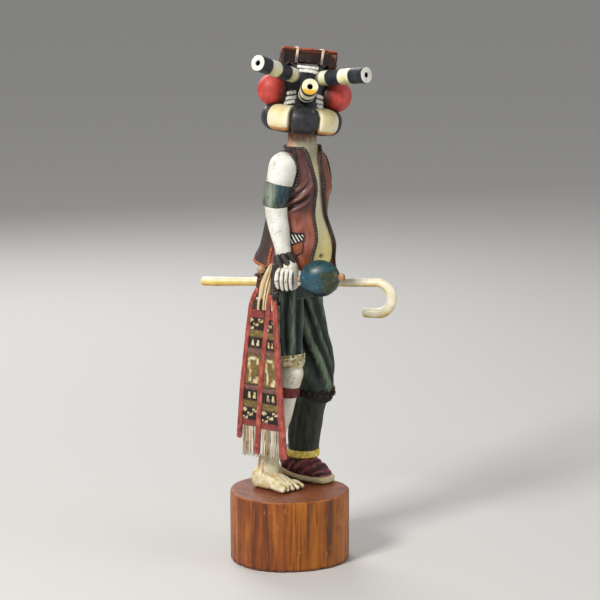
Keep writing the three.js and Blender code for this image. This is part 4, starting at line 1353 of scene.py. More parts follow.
# Sash over the right hip.
# Two flat panels hang side by side, carved and then painted as weaving: rows of posts, stairs and frets.
# Red straps run down their edges and a fringe of strands hangs from each.
sash_panels = {
    # height, side, forward, half thickness, half width
    "rear": [
        [126, -27.4, -10.8, 2.0, 5.6], [122, -27.6, -11.6, 2.0, 6.3], [100, -27.4, -13.9, 2.0, 7.6],
        [66, -26.6, -17.4, 2.0, 7.9], [43, -26.1, -19.6, 1.9, 7.6],
    ],
    "front": [
        [124, -28.8, -0.3, 2.1, 3.7], [122, -29, -0.2, 2.1, 3.9], [100, -29.6, -0.4, 2.1, 5.2],
        [66, -29.4, -0.8, 2.0, 7.5], [43, -28.8, -1.0, 1.9, 9.1],
    ],
}
cream_thread, black_thread, red_thread = (214, 204, 172), (26, 20, 19), (164, 66, 62)
olive_thread, pink_thread = (136, 114, 62), (138, 98, 86)


def stairs(across, down):
    """Three pale steps on black, cut by a thin slanting line, and a pale patch in the upper corner."""
    step = np.clip(np.floor((1 - down) * 3), 0, 2)
    block = (np.abs(across + 0.5 - 0.5 * step) < 0.27) & (((1 - down) * 3) % 1 < 0.72)
    cut = np.abs(across * 0.62 - (0.5 - down) + 0.02) < 0.06
    corner = (np.abs(across + 0.62) + np.abs(down - 0.2) * 1.6) < 0.34
    return np.where((block & ~cut) | corner, 1.0, 0.0)


def posts(across, down):
    """Two short pale posts, wider at the foot."""
    half = np.where(down > 0.55, 0.15, 0.1)
    return np.where((np.abs(np.abs(across - 0.08) - 0.26) < half) & (np.abs(down - 0.52) < 0.3), 1.0, 0.0)


def fret(across, down):
    """A tall pale hook with a jog in its stem, and two small stairs apart from it at the foot."""
    jog = np.where(down < 0.5, 0.4, 0.26)
    stem = (np.abs(across + jog) < 0.13) & (down > 0.13) & (down < 0.88)
    top = (np.abs(across + 0.02) < 0.4) & (np.abs(down - 0.12) < 0.045)
    drop = (np.abs(across - 0.44) < 0.11) & (down > 0.12) & (down < 0.3)
    foot = (np.abs(across - 0.36) < 0.26) & (np.abs(down - 0.87) < 0.05)
    step = (np.abs(across - 0.48) < 0.14) & (down > 0.7) & (down < 0.84)
    return np.where(stem | top | drop | foot | step, 1.0, 0.0)


sash_rows = [
    (120.5, 114.8, red_thread, None),
    (114.8, 107.0, black_thread, stairs),
    (107.0, 102.0, olive_thread, None),
    (102.0, 95.0, black_thread, posts),
    (95.0, 90.8, pink_thread, None),
    (90.8, 70.6, olive_thread, fret),
    (70.6, 67.0, pink_thread, None),
    (67.0, 60.2, black_thread, posts),
    (60.2, 55.2, olive_thread, None),
    (55.2, 47.2, black_thread, stairs),
    (47.2, 43.0, red_thread, None),
]


def sash_colours(up, across, place):
    colours = np.tile(np.array((52, 36, 28), float), (len(up), 1))
    edge = np.zeros(len(up))
    for high, low, ground, motif in sash_rows:
        down = (high - up) / (high - low)
        inside = (down >= 0) & (down < 1)
        tones = mix(ground, np.array(ground) * 0.72, 0.5 + rough(place, (1, 2.2, 1.2), 3))
        if motif is not None:
            pale = mix(cream_thread, (206, 176, 112), ramp(rough(place, (1.4, 1.4, 2.4), 6), -0.1, 0.4))
            tones = mix(tones, pale, motif(across, down))
        colours = np.where(inside[:, None], tones, colours)
        edge = np.maximum(edge, inside * np.exp(-((np.minimum(down, 1 - down) * (high - low) / 0.35) ** 2)))
    colours = mix(colours, (34, 24, 20), edge * 0.8)
    colours = mix(colours, (34, 24, 20), ramp(np.abs(across), 0.8, 0.92) * 0.7)
    return mix(colours, (96, 64, 42), ramp(rough(place, (1.6, 1.6, 2.4), 7), 0.05, 0.5) * 0.55)


sash_paint = painted(
    "sash_paint", grime_and_shade=(48, 32, 22), bare=(214, 204, 176), patches=0.3, wear=0.3, cracks=0.15,
    roughness=0.55, cloud=0.14, bump=0.35,
)
strap_paint = painted(
    "red_strap", grime_and_shade=(60, 16, 18), bare=(206, 128, 122), patches=0.25, wear=0.45, cracks=0.1, cloud=0.14
)
fringe_paint = painted(
    "fringe_paint", grime_and_shade=(66, 44, 24), bare=(238, 232, 214), patches=0.3, wear=0.3, cracks=0.1,
    roughness=0.55, cloud=0.1,
)


def panel(name, table):
    rows = smooth_rows(table, 40)
    columns = 64
    across = np.linspace(-1, 1, columns)
    up, side, forward, thick, half = (rows[:, k : k + 1] for k in range(5))
    bulge = 0.5 * (1 - across**2)
    face_side = side - thick - bulge
    face = at(face_side, forward + across * half * 0.98, up + 0 * across)
    ribs = 0.14 * np.sin(up / 0.55 * math.pi) * (1 - ramp(np.abs(across), 0.8, 1))
    face[..., 0] += ribs
    back = at(side + thick + 0 * across, forward + across * half * 0.98, up + 0 * across)
    rings = np.concatenate([face, back[:, ::-1]], 1)
    points, faces = skin(rings)
    sides = with_ends(np.tile(np.concatenate([across, across[::-1]]), len(rows)))
    colours = sash_colours(points[:, 2] - sole, sides, points)
    piece = body("sash_panel_" + name, points, faces, colours, sash_paint)
    fasten(piece, "figure")
    return rows


def hanging_strip(name, line, half_width, half_height, colours_of, material, flare=0.0):
    """A flat strip down the hip with its face to the figure's right. It widens by the share flare."""
    line, gone = even_line(smooth_rows(line, 10), 0.6)
    face = np.tile(np.array([-1.0, 0, 0]), (len(line), 1))
    taper = 0.75 + 0.25 * ramp(np.minimum(gone, gone[::-1]), 0, 1.2)
    width = (half_width * (1 + flare * gone / gone[-1]) + 0.12 * rough(line, 4, 3)) * taper
    rings = strip(line, face, width, half_height * taper, sides=20, power=2.8)
    points, faces = skin(rings)
    piece = body(name, points, faces, colours_of(points), material)
    fasten(piece, "figure")


strand_tones = [
    (214, 210, 196), (190, 184, 166), (226, 222, 208), (142, 112, 74), (190, 148, 66), (104, 82, 60),
    (168, 164, 152),
]


def fringe(name, table, low, count, seed, stretch):
    """Strands that hang from the foot of a panel."""
    random.seed(seed)
    high, side, forward, thick, half = table[-1]
    parts, tones = [], []
    for layer in range(2):
        for k in range(count):
            share = (k + 0.5 + random.uniform(-0.2, 0.2)) / count * 2 - 1
            x = side - thick * (0.75 if layer == 0 else 0.1)
            top = at(x, forward + share * half * 0.8, high + 0.6)
            foot = at(
                x + random.uniform(-0.3, 0.5), forward + share * half * 0.8 * stretch,
                low + random.uniform(-0.6, 1.2),
            )
            sway = np.array([random.uniform(-0.3, 0.2), random.uniform(-0.35, 0.35), 0])
            width = half * 0.8 / count * random.uniform(0.85, 1.2)
            middle = [between(top, foot, 0.35) + sway, between(top, foot, 0.7) - sway * 0.6]
            stations = [(top, width, width), *((m, width, width * 1.05) for m in middle)]
            stations.append((foot, width * 0.6, width * 0.6))
            parts.append(limb(stations, sides=7, steps=6)[0])
            tones.append(random.choice(strand_tones))
    points, faces = gathered(parts)
    colours = np.repeat(np.array(tones), len(points) // len(parts), 0)
    piece = body(name, points, faces, colours, fringe_paint)
    fasten(piece, "figure")


def red_strap_colours(points):
    up = points[:, 2] - sole
    colours = mix((178, 80, 66), (138, 54, 46), 0.5 + rough(points, (2, 2, 7), 3))
    colours = mix(colours, (196, 118, 110), ramp(rough(points, (1, 1, 5), 6), 0.0, 0.4) * 0.6)
    dirt = ramp(rough(points, (1.5, 1.5, 3), 9), 0.1, 0.5) * (0.35 + 0.4 * (1 - ramp(up, 30, 60)))
    return mix(colours, (92, 42, 34), dirt)


rear_rows, front_rows = panel("rear", sash_panels["rear"]), panel("front", sash_panels["front"])
fringe("fringe_rear", rear_rows, low=22.6, count=16, seed=3, stretch=1.12)
fringe("fringe_front", front_rows, low=24, count=24, seed=5, stretch=1.1)
red_lines = {
    "strap_rear": [
        at(-28.4, -12.1, 134), at(-28.8, -15.6, 127), at(-29, -17.8, 119), at(-29.2, -21.4, 92),
        at(-28.8, -24.9, 66), at(-28.4, -27.8, 34),
    ],
    "strap_middle": [
        at(-30.4, -0.7, 131), at(-31.0, -2.4, 119), at(-31.4, -4.9, 98), at(-31.4, -7.7, 76),
        at(-31.2, -9.6, 52), at(-30.4, -12.1, 26),
    ],
    "strap_front": [
        at(-30.6, 1.8, 130.4), at(-31.0, 2.8, 124.4), at(-31.4, 4.0, 108), at(-31.6, 5.4, 88),
        at(-31.4, 6.8, 66), at(-30.8, 8.0, 44), at(-30.2, 8.5, 25),
    ],
}
for name, line in red_lines.items():
    flare = {"strap_front": 0.75, "strap_middle": 0.35}.get(name, 0.15)
    hanging_strip(name, line, 1.6, 1.25, red_strap_colours, strap_paint, flare)

# Gathered top of the sash.
# The cream cloth is drawn up to a point at the hip; a dark strip at its foot is painted shadow in the slot
# where it parts.
gather_rows = [
    (at(-27.4, -1.0, 150.4), 1.6, 1.2, 2.2), (at(-28.2, -1.6, 147.4), 2.2, 2.6, 2.2),
    (at(-28.8, -2.6, 143.6), 2.6, 3.5, 2.4), (at(-29.2, -4.8, 137), 2.8, 4.1, 2.6),
    (at(-29.5, -6.1, 131.4), 2.6, 3.7, 3), (at(-29.7, -7.0, 126.6), 2.4, 3.6, 3),
    (at(-29.8, -7.9, 121.6), 2.0, 3.8, 3), (at(-29.8, -8, 120.8), 1.4, 3.4, 3),
]
rings, out, share, angle = limb(gather_rows, sides=120, steps=10)
pleat = folds(angle, share, [
    (262, 250, -0.6, 6), (90, 80, -0.5, 9), (178, 182, -0.7, 9), (146, 136, -0.5, 7), (212, 222, -0.5, 7),
    (162, 158, 0.45, 7), (196, 204, 0.45, 7),
])
rings = pushed(rings, out, pleat + 0.25 * rough(rings, 3))
points, faces = skin(rings)
pleat = with_ends(pleat)
gather_colours = mix((226, 214, 182), (206, 178, 128), 0.5 + rough(points, (1.6, 1.6, 8), 5))
# Darker brown in the pleat hollows: painted shade.
gather_colours = mix(gather_colours, (164, 122, 76), ramp(-pleat, 0.15, 0.6) * 0.8)
gather_piece = body("sash_gather", points, faces, gather_colours, fringe_paint)
fasten(gather_piece, "figure")
# A dark strip on the cloth stands for the painted shadow in the slot.
slot_shadow_line = [at(-31.6, -6.9, 128), at(-31.8, -7.2, 125.6), at(-31.9, -7.7, 122), at(-31.7, -8, 120.4)]
hanging_strip("gather_slot_shadow", slot_shadow_line, 1.0, 0.7, lambda p: (30, 18, 14), black_band)
hanging_strip(
    "gather_end_front",
    [at(-30.4, 0.9, 128), at(-30.8, 1.3, 124), at(-31, 1.2, 120.4)],
    1.2,
    0.9,
    lambda p: mix((222, 206, 158), (170, 130, 60), 0.5 + rough(p, (1, 1, 4), 4)),
    fringe_paint,
)

# Knot, curl and twisted tassel at the hip.
# A tan knob ties the sash over a dark curl, and a black tassel with pale twists hangs in front.
knob_rows = [
    (at(-27.2, -8.8, 147.4), 1.2, 1.2), (at(-28, -8.8, 147.2), 1.9, 2.4),
    (at(-29.4, -8.8, 146.2), 2.2, 2.9), (at(-30.8, -8.8, 145.4), 1.8, 2.4),
    (at(-31.6, -8.8, 145), 0.8, 1.1),
]
rings = limb(knob_rows, sides=48, steps=8)[0]
points, faces = skin(rings)
knob_colours = mix((186, 158, 126), (128, 92, 66), 0.5 + rough(points, (2, 2, 2), 3))
knob_piece = body("sash_knob", points, faces, knob_colours, cloth_trim)
fasten(knob_piece, "figure")


def curl_parts():
    """A cloth end rolled up below the knob."""
    turn = np.linspace(0.2, 2 * math.pi * 1.15, 40)
    reach = 3.0 - 0.26 * turn
    line = at(-28.4 + 0.1 * turn, -10.2 - reach * np.cos(turn), 141.4 + reach * 0.85 * np.sin(turn))
    thick = 1.0 - 0.05 * turn
    face = np.stack([0 * turn, -np.cos(turn), np.sin(turn)], 1)
    return [strip(line, face, 2.6 + 0 * turn, thick, sides=14, power=2.4)]


cloth_end = [
    (at(-24, -9.4, 147), 3, 3.2), (at(-26, -9.8, 142), 3.4, 3.6), (at(-26.4, -11.2, 134), 3, 3.6),
    (at(-26.6, -12, 128), 2.6, 4),
]
curl_piece = body(
    "sash_curl",
    *gathered(curl_parts() + [limb(cloth_end, sides=40, steps=8)[0]]),
    (72, 44, 32),
    painted(
        "dark_cloth", grime_and_shade=(22, 12, 10), bare=(160, 116, 84), depth=1.0, patches=0.45, cracks=0.1,
        cloud=0.3, bump=0.35,
    ),
)
fasten(curl_piece, "figure")
tassel_paint = painted(
    "tassel_paint", grime_and_shade=(10, 8, 8), bare=(96, 88, 80), patches=0.1, wear=0.3, cloud=0.15
)
tassel_line, tassel_gone = even_line(smooth_rows([
    at(-29.6, 2.0, 150), at(-30.8, 2.6, 143), at(-31.6, 3.0, 136), at(-31.8, 3.2, 130.6),
    at(-31.6, 3.2, 127.6),
], 10), 0.35)
tassel_parts = []
for strand in range(4):
    phase = tassel_gone / 9 * 2 * math.pi + strand * math.pi / 2
    reach = 1.5 * np.sin(math.pi * np.clip(tassel_gone / tassel_gone[-1] * 0.9 + 0.08, 0, 1)) ** 0.5
    offset = np.stack([np.cos(phase) * reach, np.sin(phase) * reach, 0 * reach], 1)
    line = tassel_line + offset
    size = 1.25 * np.sin(math.pi * np.clip(tassel_gone / tassel_gone[-1] * 0.92 + 0.05, 0, 1)) ** 0.4
    rings = strip(line, offset + np.array([1e-3, 0, 0]), size, size, sides=12)
    tassel_parts.append(rings)
points, faces = gathered(tassel_parts)
slanted = np.abs(((points[:, 2] + 0.9 * points[:, 1]) / 2.1) % 1 - 0.5)
marks = ramp(slanted, 0.42, 0.48) * (1 - ramp(points[:, 2] - sole, 134, 139))
marks *= ramp(rough(points, 1.3, 5), -0.1, 0.15)
tassel_colours = mix((22, 17, 16), (188, 180, 166), marks)
tassel_piece = body("sash_tassel", points, faces, tassel_colours, tassel_paint)
fasten(tassel_piece, "figure")

# Helmet mask.
# A straight-sided black tube with a flat top, carved in one with the figure and turned to its right.
# Two white bars are painted across the brow and three on each side of the mouth.
helmet_radius, helmet_rise = 13.4, 34.5
helmet_turn = (
    Matrix.Rotation(math.radians(-51), 3, "Z") @ Matrix.Rotation(math.radians(6.5), 3, "Y")
    @ Matrix.Rotation(math.radians(-3), 3, "X")
)
helmet_middle = at(0, 1.6, 239.5)
helmet_axes = np.array(helmet_turn)


def in_helmet(places):
    """From the helmet's own frame, face along -Y, to the figure's."""
    return np.asarray(places, float) @ helmet_axes.T + helmet_middle


def lathe(profile, sides):
    """Rings of a turned body from (radius, height) pairs."""
    turn = once_round(sides)
    return np.array([
        np.stack([radius * np.sin(turn), -radius * np.cos(turn), np.full(sides, float(height))], 1)
        for radius, height in profile
    ])


white_bars = [
    # from and to in degrees from the face, height at each end, half height, arch
    (-33, 27, 33.1, 33.1, 0.95, 0.2),
    (-30, 31, 30.2, 29.8, 1.05, 1.2),
    (-77, -28, 14.75, 17.1, 1.1, 0.0),
    (-72, -26, 11.75, 14.1, 1.1, 0.0),
    (-76, -28, 8.5, 11.4, 1.1, 0.0),
    (29, 79, 16.1, 14.5, 1.1, 0.0),
    (31, 85, 12.9, 11.0, 1.1, 0.0),
    (36, 85, 9.9, 8.25, 1.1, 0.0),
]
profile = [(helmet_radius * 0.7, -7.5), (helmet_radius * 0.92, -6.5), (helmet_radius, -4)]
profile += [(helmet_radius, z) for z in np.linspace(-3.8, helmet_rise - 1.4, 90)]
profile += [(helmet_radius - 0.12, helmet_rise - 0.8), (helmet_radius - 0.5, helmet_rise - 0.25)]
profile += [(helmet_radius - 1.1, helmet_rise), (helmet_radius * 0.6, helmet_rise), (1, helmet_rise)]
rings = lathe(profile, 260)
carved = rough(rings, (5, 5, 12), 3) * 0.22
rings[..., :2] *= (1 + carved / helmet_radius)[..., None]
points, faces = skin(rings)
face_turn = np.degrees(np.arctan2(points[:, 0], -points[:, 1]))
helmet_colours = mix((20, 21, 24), (36, 40, 44), 0.5 + rough(points, (4, 4, 7), 5))
for start, end, first, last, half, arch in white_bars:
    run = (face_turn - start) / (end - start)
    middle = first + (last - first) * run + arch * np.sin(np.pi * np.clip(run, 0, 1))
    wobble = 0.2 * rough(points, (1.4, 1.4, 1.4), start)
    inside = ramp(half + wobble - np.abs(points[:, 2] - middle), -0.08, 0.12)
    inside = inside * ramp(np.minimum(run, 1 - run), -0.005, 0.012)
    chalk = mix((232, 231, 224), (176, 172, 158), ramp(rough(points, (1.2, 1.2, 1.2), 9), 0.1, 0.5))
    helmet_colours = mix(helmet_colours, chalk, inside)
helmet_colours = mix(helmet_colours, (8, 8, 8), ramp(points[:, 2], helmet_rise - 0.3, helmet_rise - 0.1))
helmet_paint = painted(
    "black_mask", grime_and_shade=(8, 8, 9), bare=(116, 104, 90), depth=0.6, patches=0.12, wear=0.45, cracks=0.1,
    roughness=0.4, bump=0.28,
)
helmet_piece = body("helmet", in_helmet(points), faces, helmet_colours, helmet_paint)
fasten(helmet_piece, "figure")

# Ring round the neck.
# Eight fat barrel-shaped lengths in black and cream by turns; the cream ones have a rusty stain and turn
# nearly black along the underside.
ruff_radius, ruff_roll, ruff_power, ruff_count = 17, 8.6, 2.35, 8
ruff_black = painted(
    "ruff_black", grime_and_shade=(8, 8, 9), bare=(120, 108, 96), depth=0.7, patches=0.12, wear=0.45, cracks=0.1,
    roughness=0.42, bump=0.28,
)
ruff_cream = painted(
    "ruff_cream", grime_and_shade=(122, 84, 40), bare=(240, 232, 204), depth=0.7, patches=0.22, wear=0.25,
    cracks=0.35, roughness=0.46, cloud=0.09, bump=0.28,
)
for k in range(ruff_count):
    along = np.linspace(-1, 1, 56)
    half_turn = math.pi / ruff_count * 0.985
    turn = 2 * math.pi * k / ruff_count + along * half_turn
    roll = ruff_roll * (1 - np.abs(along) ** 16) ** 0.5 * (1 - 0.03 * along**2) + 0.02
    roll[[0, -1]] = ruff_roll * 0.35
    section = once_round(96)
    wide, high = oblong(section, ruff_power)
    out = ruff_radius + roll[:, None] * wide
    rings = np.stack([
        out * np.sin(turn)[:, None], -out * np.cos(turn)[:, None], roll[:, None] * high + 0 * out
    ], -1)
    wobble = rough(rings, (6, 6, 6), k) * 0.3
    rings[..., 2] += wobble
    points, faces = skin(rings)
    under = -with_ends(np.sin(section) + 0 * out)
    lengthwise = np.abs(with_ends(along[:, None] + 0 * out, 1, 1))
    cloud = rough(points, (3, 3, 3), 4 + k)
    if k % 2 == 0:
        colours = mix((34, 34, 38), (52, 52, 56), 0.5 + cloud)
        colours = mix(colours, (14, 13, 14), ramp(lengthwise, 0.9, 1) * 0.7)
    else:
        colours = mix((232, 224, 190), (220, 204, 146), 0.5 + 1.2 * rough(points, (8, 8, 8), k))
        colours = mix(colours, (236, 232, 214), ramp(lengthwise, 0.5, 0.9) * 0.6)
        colours = mix(colours, (182, 108, 36), ramp(under + 0.08 * cloud, 0.5, 0.74) * 0.9)
        colours = mix(colours, (150, 122, 78), ramp(lengthwise + 0.08 * cloud, 0.9, 0.98) * 0.6)
        colours = mix(colours, (26, 22, 20), ramp(under + 0.03 * cloud, 0.84, 0.87))
        colours = mix(colours, (26, 22, 20), ramp(lengthwise, 0.975, 0.99))
    name = "ruff_" + str(k + 1)
    ruff_piece = body(name, in_helmet(points), faces, colours, ruff_black if k % 2 == 0 else ruff_cream)
    fasten(ruff_piece, "figure")

# Eye and mouth tubes.
# Turned rods with a drilled end, set into the helmet and painted in black and cream bands.
tube_bore, bore_depth, tube_seat = 1.7, 9, 10.9
tube_paint = painted(
    "banded_paint", grime_and_shade=(70, 54, 30), bare=(150, 146, 134), depth=0.5, wear=0.3, cracks=0.3,
    roughness=0.42, cloud=0.1, bump=0.28,
)
tube_black, tube_cream, tube_white = (28, 31, 39), (236, 234, 212), (238, 238, 232)
tube_places = {
    # turn, rise, height on the axis, length, radius at the root and the end, bands from the end
    "eye_tube_right": (-40.5, 8, 25.3, 41.5, 4.6, 5.2, [10.2, 20, 31]),
    "eye_tube_left": (40.5, 8, 25.3, 41.5, 4.6, 5.2, [11.8, 20.8, 32]),
    "mouth_tube": (0, 15, 11.6, 28.5, 5.3, 5.3, [5, 13, 17.5, 20]),
}
tube_sides, wall_rows = 96, 64
face_first, bore_first = wall_rows + 3, wall_rows + 10
for name, (turn, rise, height, length, root, end, bands) in tube_places.items():
    run = heading(math.radians(turn), math.radians(rise))
    across = unit(np.cross((0, 0, 1), run))
    over = np.cross(run, across)
    profile = [(root * 0.5, 0), (root * 0.98, 0)]
    profile += [(root + (end - root) * s, length * s) for s in np.linspace(0.01, 0.985, wall_rows)]
    profile += [(end - 0.12, length - 0.3), (end - 0.4, length - 0.06), (end - 0.8, length)]
    profile += [(r, length) for r in (end - 1.6, tube_bore + 0.9, tube_bore + 0.25)]
    profile += [(tube_bore + 0.03, length - 0.2), (tube_bore, length - 0.6)]
    profile += [(tube_bore, length - d) for d in np.linspace(1.2, bore_depth - 0.4, 12)]
    profile += [(tube_bore * 0.7, length - bore_depth)]
    angle = once_round(tube_sides)
    ring_out = np.cos(angle)[:, None] * across + np.sin(angle)[:, None] * over
    rings = np.array([ring_out * radius + run * (tube_seat + gone) for radius, gone in profile])
    rings[..., 2] += height
    wall = slice(2, wall_rows + 3)
    rings[wall] += ring_out * (rough(rings[wall], (4, 4, 4), turn) * 0.16)[..., None]
    points, faces = skin(rings)
    gone = with_ends(np.repeat([g for r, g in profile], tube_sides), 0, length - bore_depth)
    radius = with_ends(np.repeat([r for r, g in profile], tube_sides))
    from_end = length - gone + 0.35 * rough(points, (2.5, 2.5, 2.5), 5)
    cloud = rough(points, (4, 4, 4), 8)
    low_side = -(points @ over - (gone + tube_seat) * (run @ over) - height * over[2]) / root
    stained_and_shaded = 0.25 if name == "mouth_tube" else 1.0
    # Yellowed towards the underside, and darker under it as painted shade.
    cream = mix(tube_cream, (224, 216, 164), ramp(low_side + 0.7 * cloud, -0.4, 0.6) * stained_and_shaded)
    cream = mix(cream, (150, 140, 100), ramp(low_side + 0.5 * cloud, 0.5, 1.0) * 0.5 * stained_and_shaded)
    black = mix(tube_black, (44, 48, 56), 0.5 + cloud)
    colours = black.copy()
    for k, stop in enumerate(bands):
        colours = mix(colours, black if k % 2 else cream, ramp(from_end, stop - 0.15, stop + 0.15))
    # Darker where the tube meets the helmet: painted shade.
    seat_shade = (1 - ramp(gone - 2.5 + cloud, 0, 2.4)) * (gone < 8)
    colours = mix(colours, (60, 50, 34), seat_shade * 0.7)
    index = with_ends(np.repeat(np.arange(len(profile)), tube_sides), 0, len(profile) - 1)
    end_face = (index >= face_first) & (radius < end - 0.1)
    face_tone = mix(tube_white, (214, 212, 200), 0.5 + cloud)
    if name == "mouth_tube":
        low = 1 - ramp((points - points[end_face].mean(0)) @ over, -3.2, -0.6)
        face_tone = mix((236, 232, 198), (218, 168, 36), low)
    colours = np.where(end_face[:, None], face_tone, colours)
    colours = np.where((index >= bore_first)[:, None], np.array((12, 10, 10)), colours)
    tube_piece = body(name + "_turned", in_helmet(points), faces, colours, tube_paint)
    fasten(tube_piece, name)

# Ears.
# Round red pads set against the helmet's sides, with painted shade darkening them where they meet it and a
# painted highlight on top.
ear_out, ear_height, ear_reach, ear_radius = 20.2, 17.5, 9.8, 9.4
ear_power, ear_sag, ear_tall = 2 / 0.84, 0.8, 1.06
ear_paint = painted(
    "ear_paint", grime_and_shade=(70, 18, 12), bare=(214, 120, 96), depth=0.6, patches=0.22, wear=0.3, cracks=0.15,
    roughness=0.52, cloud=0.12,
)
for side, name in ((-1, "ear_right"), (1, "ear_left")):
    seat = (helmet_radius + 0.3 - ear_out) / ear_reach
    share = np.linspace(seat, 0.996, 56)
    size = ear_radius * np.maximum(1 - np.abs(share) ** 2.15, 0.0) ** 0.5
    turn = once_round(96)
    x = side * (ear_out + ear_reach * share)
    wide, high = oblong(turn, ear_power)
    high = ear_height - ear_sag + size[:, None] * high * ear_tall
    rings = np.stack([x[:, None] + 0 * turn, size[:, None] * wide, high], -1)
    inner = rings[..., 1] ** 2
    hug = np.sqrt(np.maximum((helmet_radius + 0.3) ** 2 - inner, 0))
    near = 1 - ramp(np.abs(rings[..., 0]), helmet_radius - 0.2, helmet_radius + 3)
    rings[..., 0] = np.where(
        near > 0, side * (hug * near + np.abs(rings[..., 0]) * (1 - near)), rings[..., 0]
    )
    ring_gap = np.hypot(np.hypot(rings[..., 0], rings[..., 1]) - ruff_radius, rings[..., 2])
    rings[..., 2] += np.maximum(ruff_roll + 0.2 - ring_gap, 0) * (rings[..., 2] < ear_height)
    rings = rings + (rough(rings, (5, 5, 5), side) * 0.3)[..., None] * np.array([side, 0, 0.3])
    points, faces = skin(rings)
    away = np.abs(points[:, 0]) - helmet_radius
    cloud = rough(points, (4, 4, 4), 6)
    colours = mix((198, 78, 72), (178, 58, 52), 0.5 + 1.2 * cloud)
    # Lighter on top: painted highlight.
    colours = mix(colours, (206, 104, 98), ramp(points[:, 2], ear_height + 1, ear_height + 8) * 0.4)
    # Darker towards the helmet and nearly black at the seam: painted shade.
    colours = mix(colours, (160, 44, 30), 1 - ramp(away + 1.5 * cloud, 2, 9))
    colours = mix(colours, (44, 20, 16), 1 - ramp(away + 1.0 * cloud, -1.5, 5.5))
    ear_piece = body(name + "_pad", in_helmet(points), faces, colours, ear_paint)
    fasten(ear_piece, name)

# Bark bundle on the helmet.
# Strips of bark lie side by side across the top, red brown above and nearly black at the front, tied twice.
bark_width, bark_depth, bark_thick, tie_offset = 35, 21, 9.8, 8
bark_power, tie_power, end_droop = 11, 6, 2.2
bark_middle = helmet_rise + 0.45 + bark_thick / 2
stops = np.array([-1, -0.995, -0.985, *np.linspace(-0.97, 0.97, 90), 0.985, 0.995, 1]) * bark_width / 2
c, s = oblong(once_round(200), bark_power)
end_gap = bark_width / 2 - np.abs(stops)
inset = 1.0 * (1 - ramp(end_gap, 0, 1.1)) + 1.6 * (end_gap < 1e-6)
half_deep, half_thick = bark_depth / 2 - inset[:, None], bark_thick / 2 - inset[:, None]
rings = np.stack([stops[:, None] + 0 * c, half_deep * c, bark_middle + half_thick * s], -1)
level = (rings[..., 2] - bark_middle) / bark_thick * 2
out = unit(np.stack([0 * level, rings[..., 1] / bark_depth * 2, level], -1))
fibre_lift = rough(rings, (14, 1.5, 1.3), 4) * 1.1 + rough(rings, (4, 0.7, 0.7), 9) * 0.5 - 0.35
rings[..., 2] -= end_droop * ramp(np.abs(rings[..., 0]), 11, 14.5) * np.clip(-s, 0, 1)
tied = np.exp(-((np.abs(np.abs(rings[..., 0]) - tie_offset) / 1.8) ** 2))
rings = pushed(rings, out, fibre_lift * (1 - 0.4 * tied) - 0.3 * tied)
ragged = rough(rings * np.array([0, 1, 1]), (1, 1.1, 1.1), 3) * 0.6 * (end_gap < 1)[:, None]
rings[..., 0] += np.sign(rings[..., 0]) * ragged
points, faces = skin(rings)
top = with_ends(out[..., 2])
strand = rough(points, (12, 0.9, 0.9), 7)
level = (points[:, 2] - bark_middle) / bark_thick * 2
bark_colours = mix((12, 7, 6), (46, 20, 14), 0.4 + 2.0 * strand)
warm = ramp(level + 0.5 * strand, 0.25, 0.85)
bark_colours = mix(bark_colours, mix((166, 72, 34), (62, 24, 15), 0.5 + 2.4 * strand), warm)
# Brighter orange on the faces that look up: red-brown with a painted highlight.
bark_colours = mix(bark_colours, mix((196, 98, 50), (74, 28, 18), 0.5 + 2.4 * strand), ramp(top, 0.6, 0.95))
bark_paint = painted("bark_stain", grime_and_shade=(22, 9, 7), bare=(206, 120, 70), depth=0.9, patches=0.15, bump=0.4)
bark_piece = body("bark_bundle", in_helmet(points), faces, bark_colours, bark_paint)
fasten(bark_piece, "bark_crown")
tie_parts = []
for middle in (-tie_offset, tie_offset):
    for k in range(2):
        turn = np.linspace(0, 2 * math.pi, 130)
        c, s = oblong(turn, tie_power)
        grow = 0.1 + 0.1 * k
        line = np.stack([
            middle + (k - 0.5) * 0.8 + 0.12 * np.sin(turn * 3 + k), (bark_depth / 2 + grow) * c,
            bark_middle + (bark_thick / 2 + grow) * s,
        ], 1)
        face = np.stack([0 * c, c, s], 1)
        tie_parts.append(strip(line, face, 0.5 + 0 * turn, 0.42 + 0 * turn, sides=10))
points, faces = gathered(tie_parts)
level = (points[:, 2] - bark_middle) / bark_thick * 2
tie_colours = mix((222, 206, 176), (180, 150, 116), 0.5 + rough(points, (1, 1, 1.6), 5))
tie_colours = mix(tie_colours, (48, 28, 20), 1 - ramp(level + 0.3 * rough(points, 1.5, 2), -0.75, 0.0))
tie_piece = body("bark_ties", in_helmet(points), faces, tie_colours, fringe_paint)
fasten(tie_piece, "bark_crown")

# Cane in the left hand.
# A slim rod ending in a hook that turns down, cream with ochre stain along its underside.
cane_radius, cane_rear_radius = 2.8, 3.1
cane_behind, cane_ahead = 88, 36
hook_radius, hook_thick, hook_end = 10.1, 3.4, 10
cane_run = heading(cane_turn, cane_rise)
level_run = unit(cane_run * np.array([1, 1, 0]))
drop = np.array([0, 0, -1.0])
cane_route = [
    (-cane_behind, 1.4), (-cane_behind + 0.4, 2.2), (-cane_behind + 1.2, 2.8),
    (-cane_behind + 3, cane_rear_radius),
]
cane_route += [
    (d, cane_rear_radius - 0.3 * ramp(d, -cane_behind, -40)) for d in np.linspace(-82, cane_ahead, 90)
]
cane_points = [hand_left + cane_run * d for d, r in cane_route]
cane_sizes = [float(r) for d, r in cane_route]
hook_middle = cane_points[-1] + drop * hook_radius
for turn in np.linspace(0, math.pi, 50)[1:]:
    forth, fallen = level_run * math.sin(turn) * hook_radius, drop * math.cos(turn) * hook_radius
    cane_points.append(hook_middle + forth - fallen)
    cane_sizes.append(cane_radius + (hook_thick - cane_radius) * math.sin(min(turn * 1.2, math.pi / 2)))
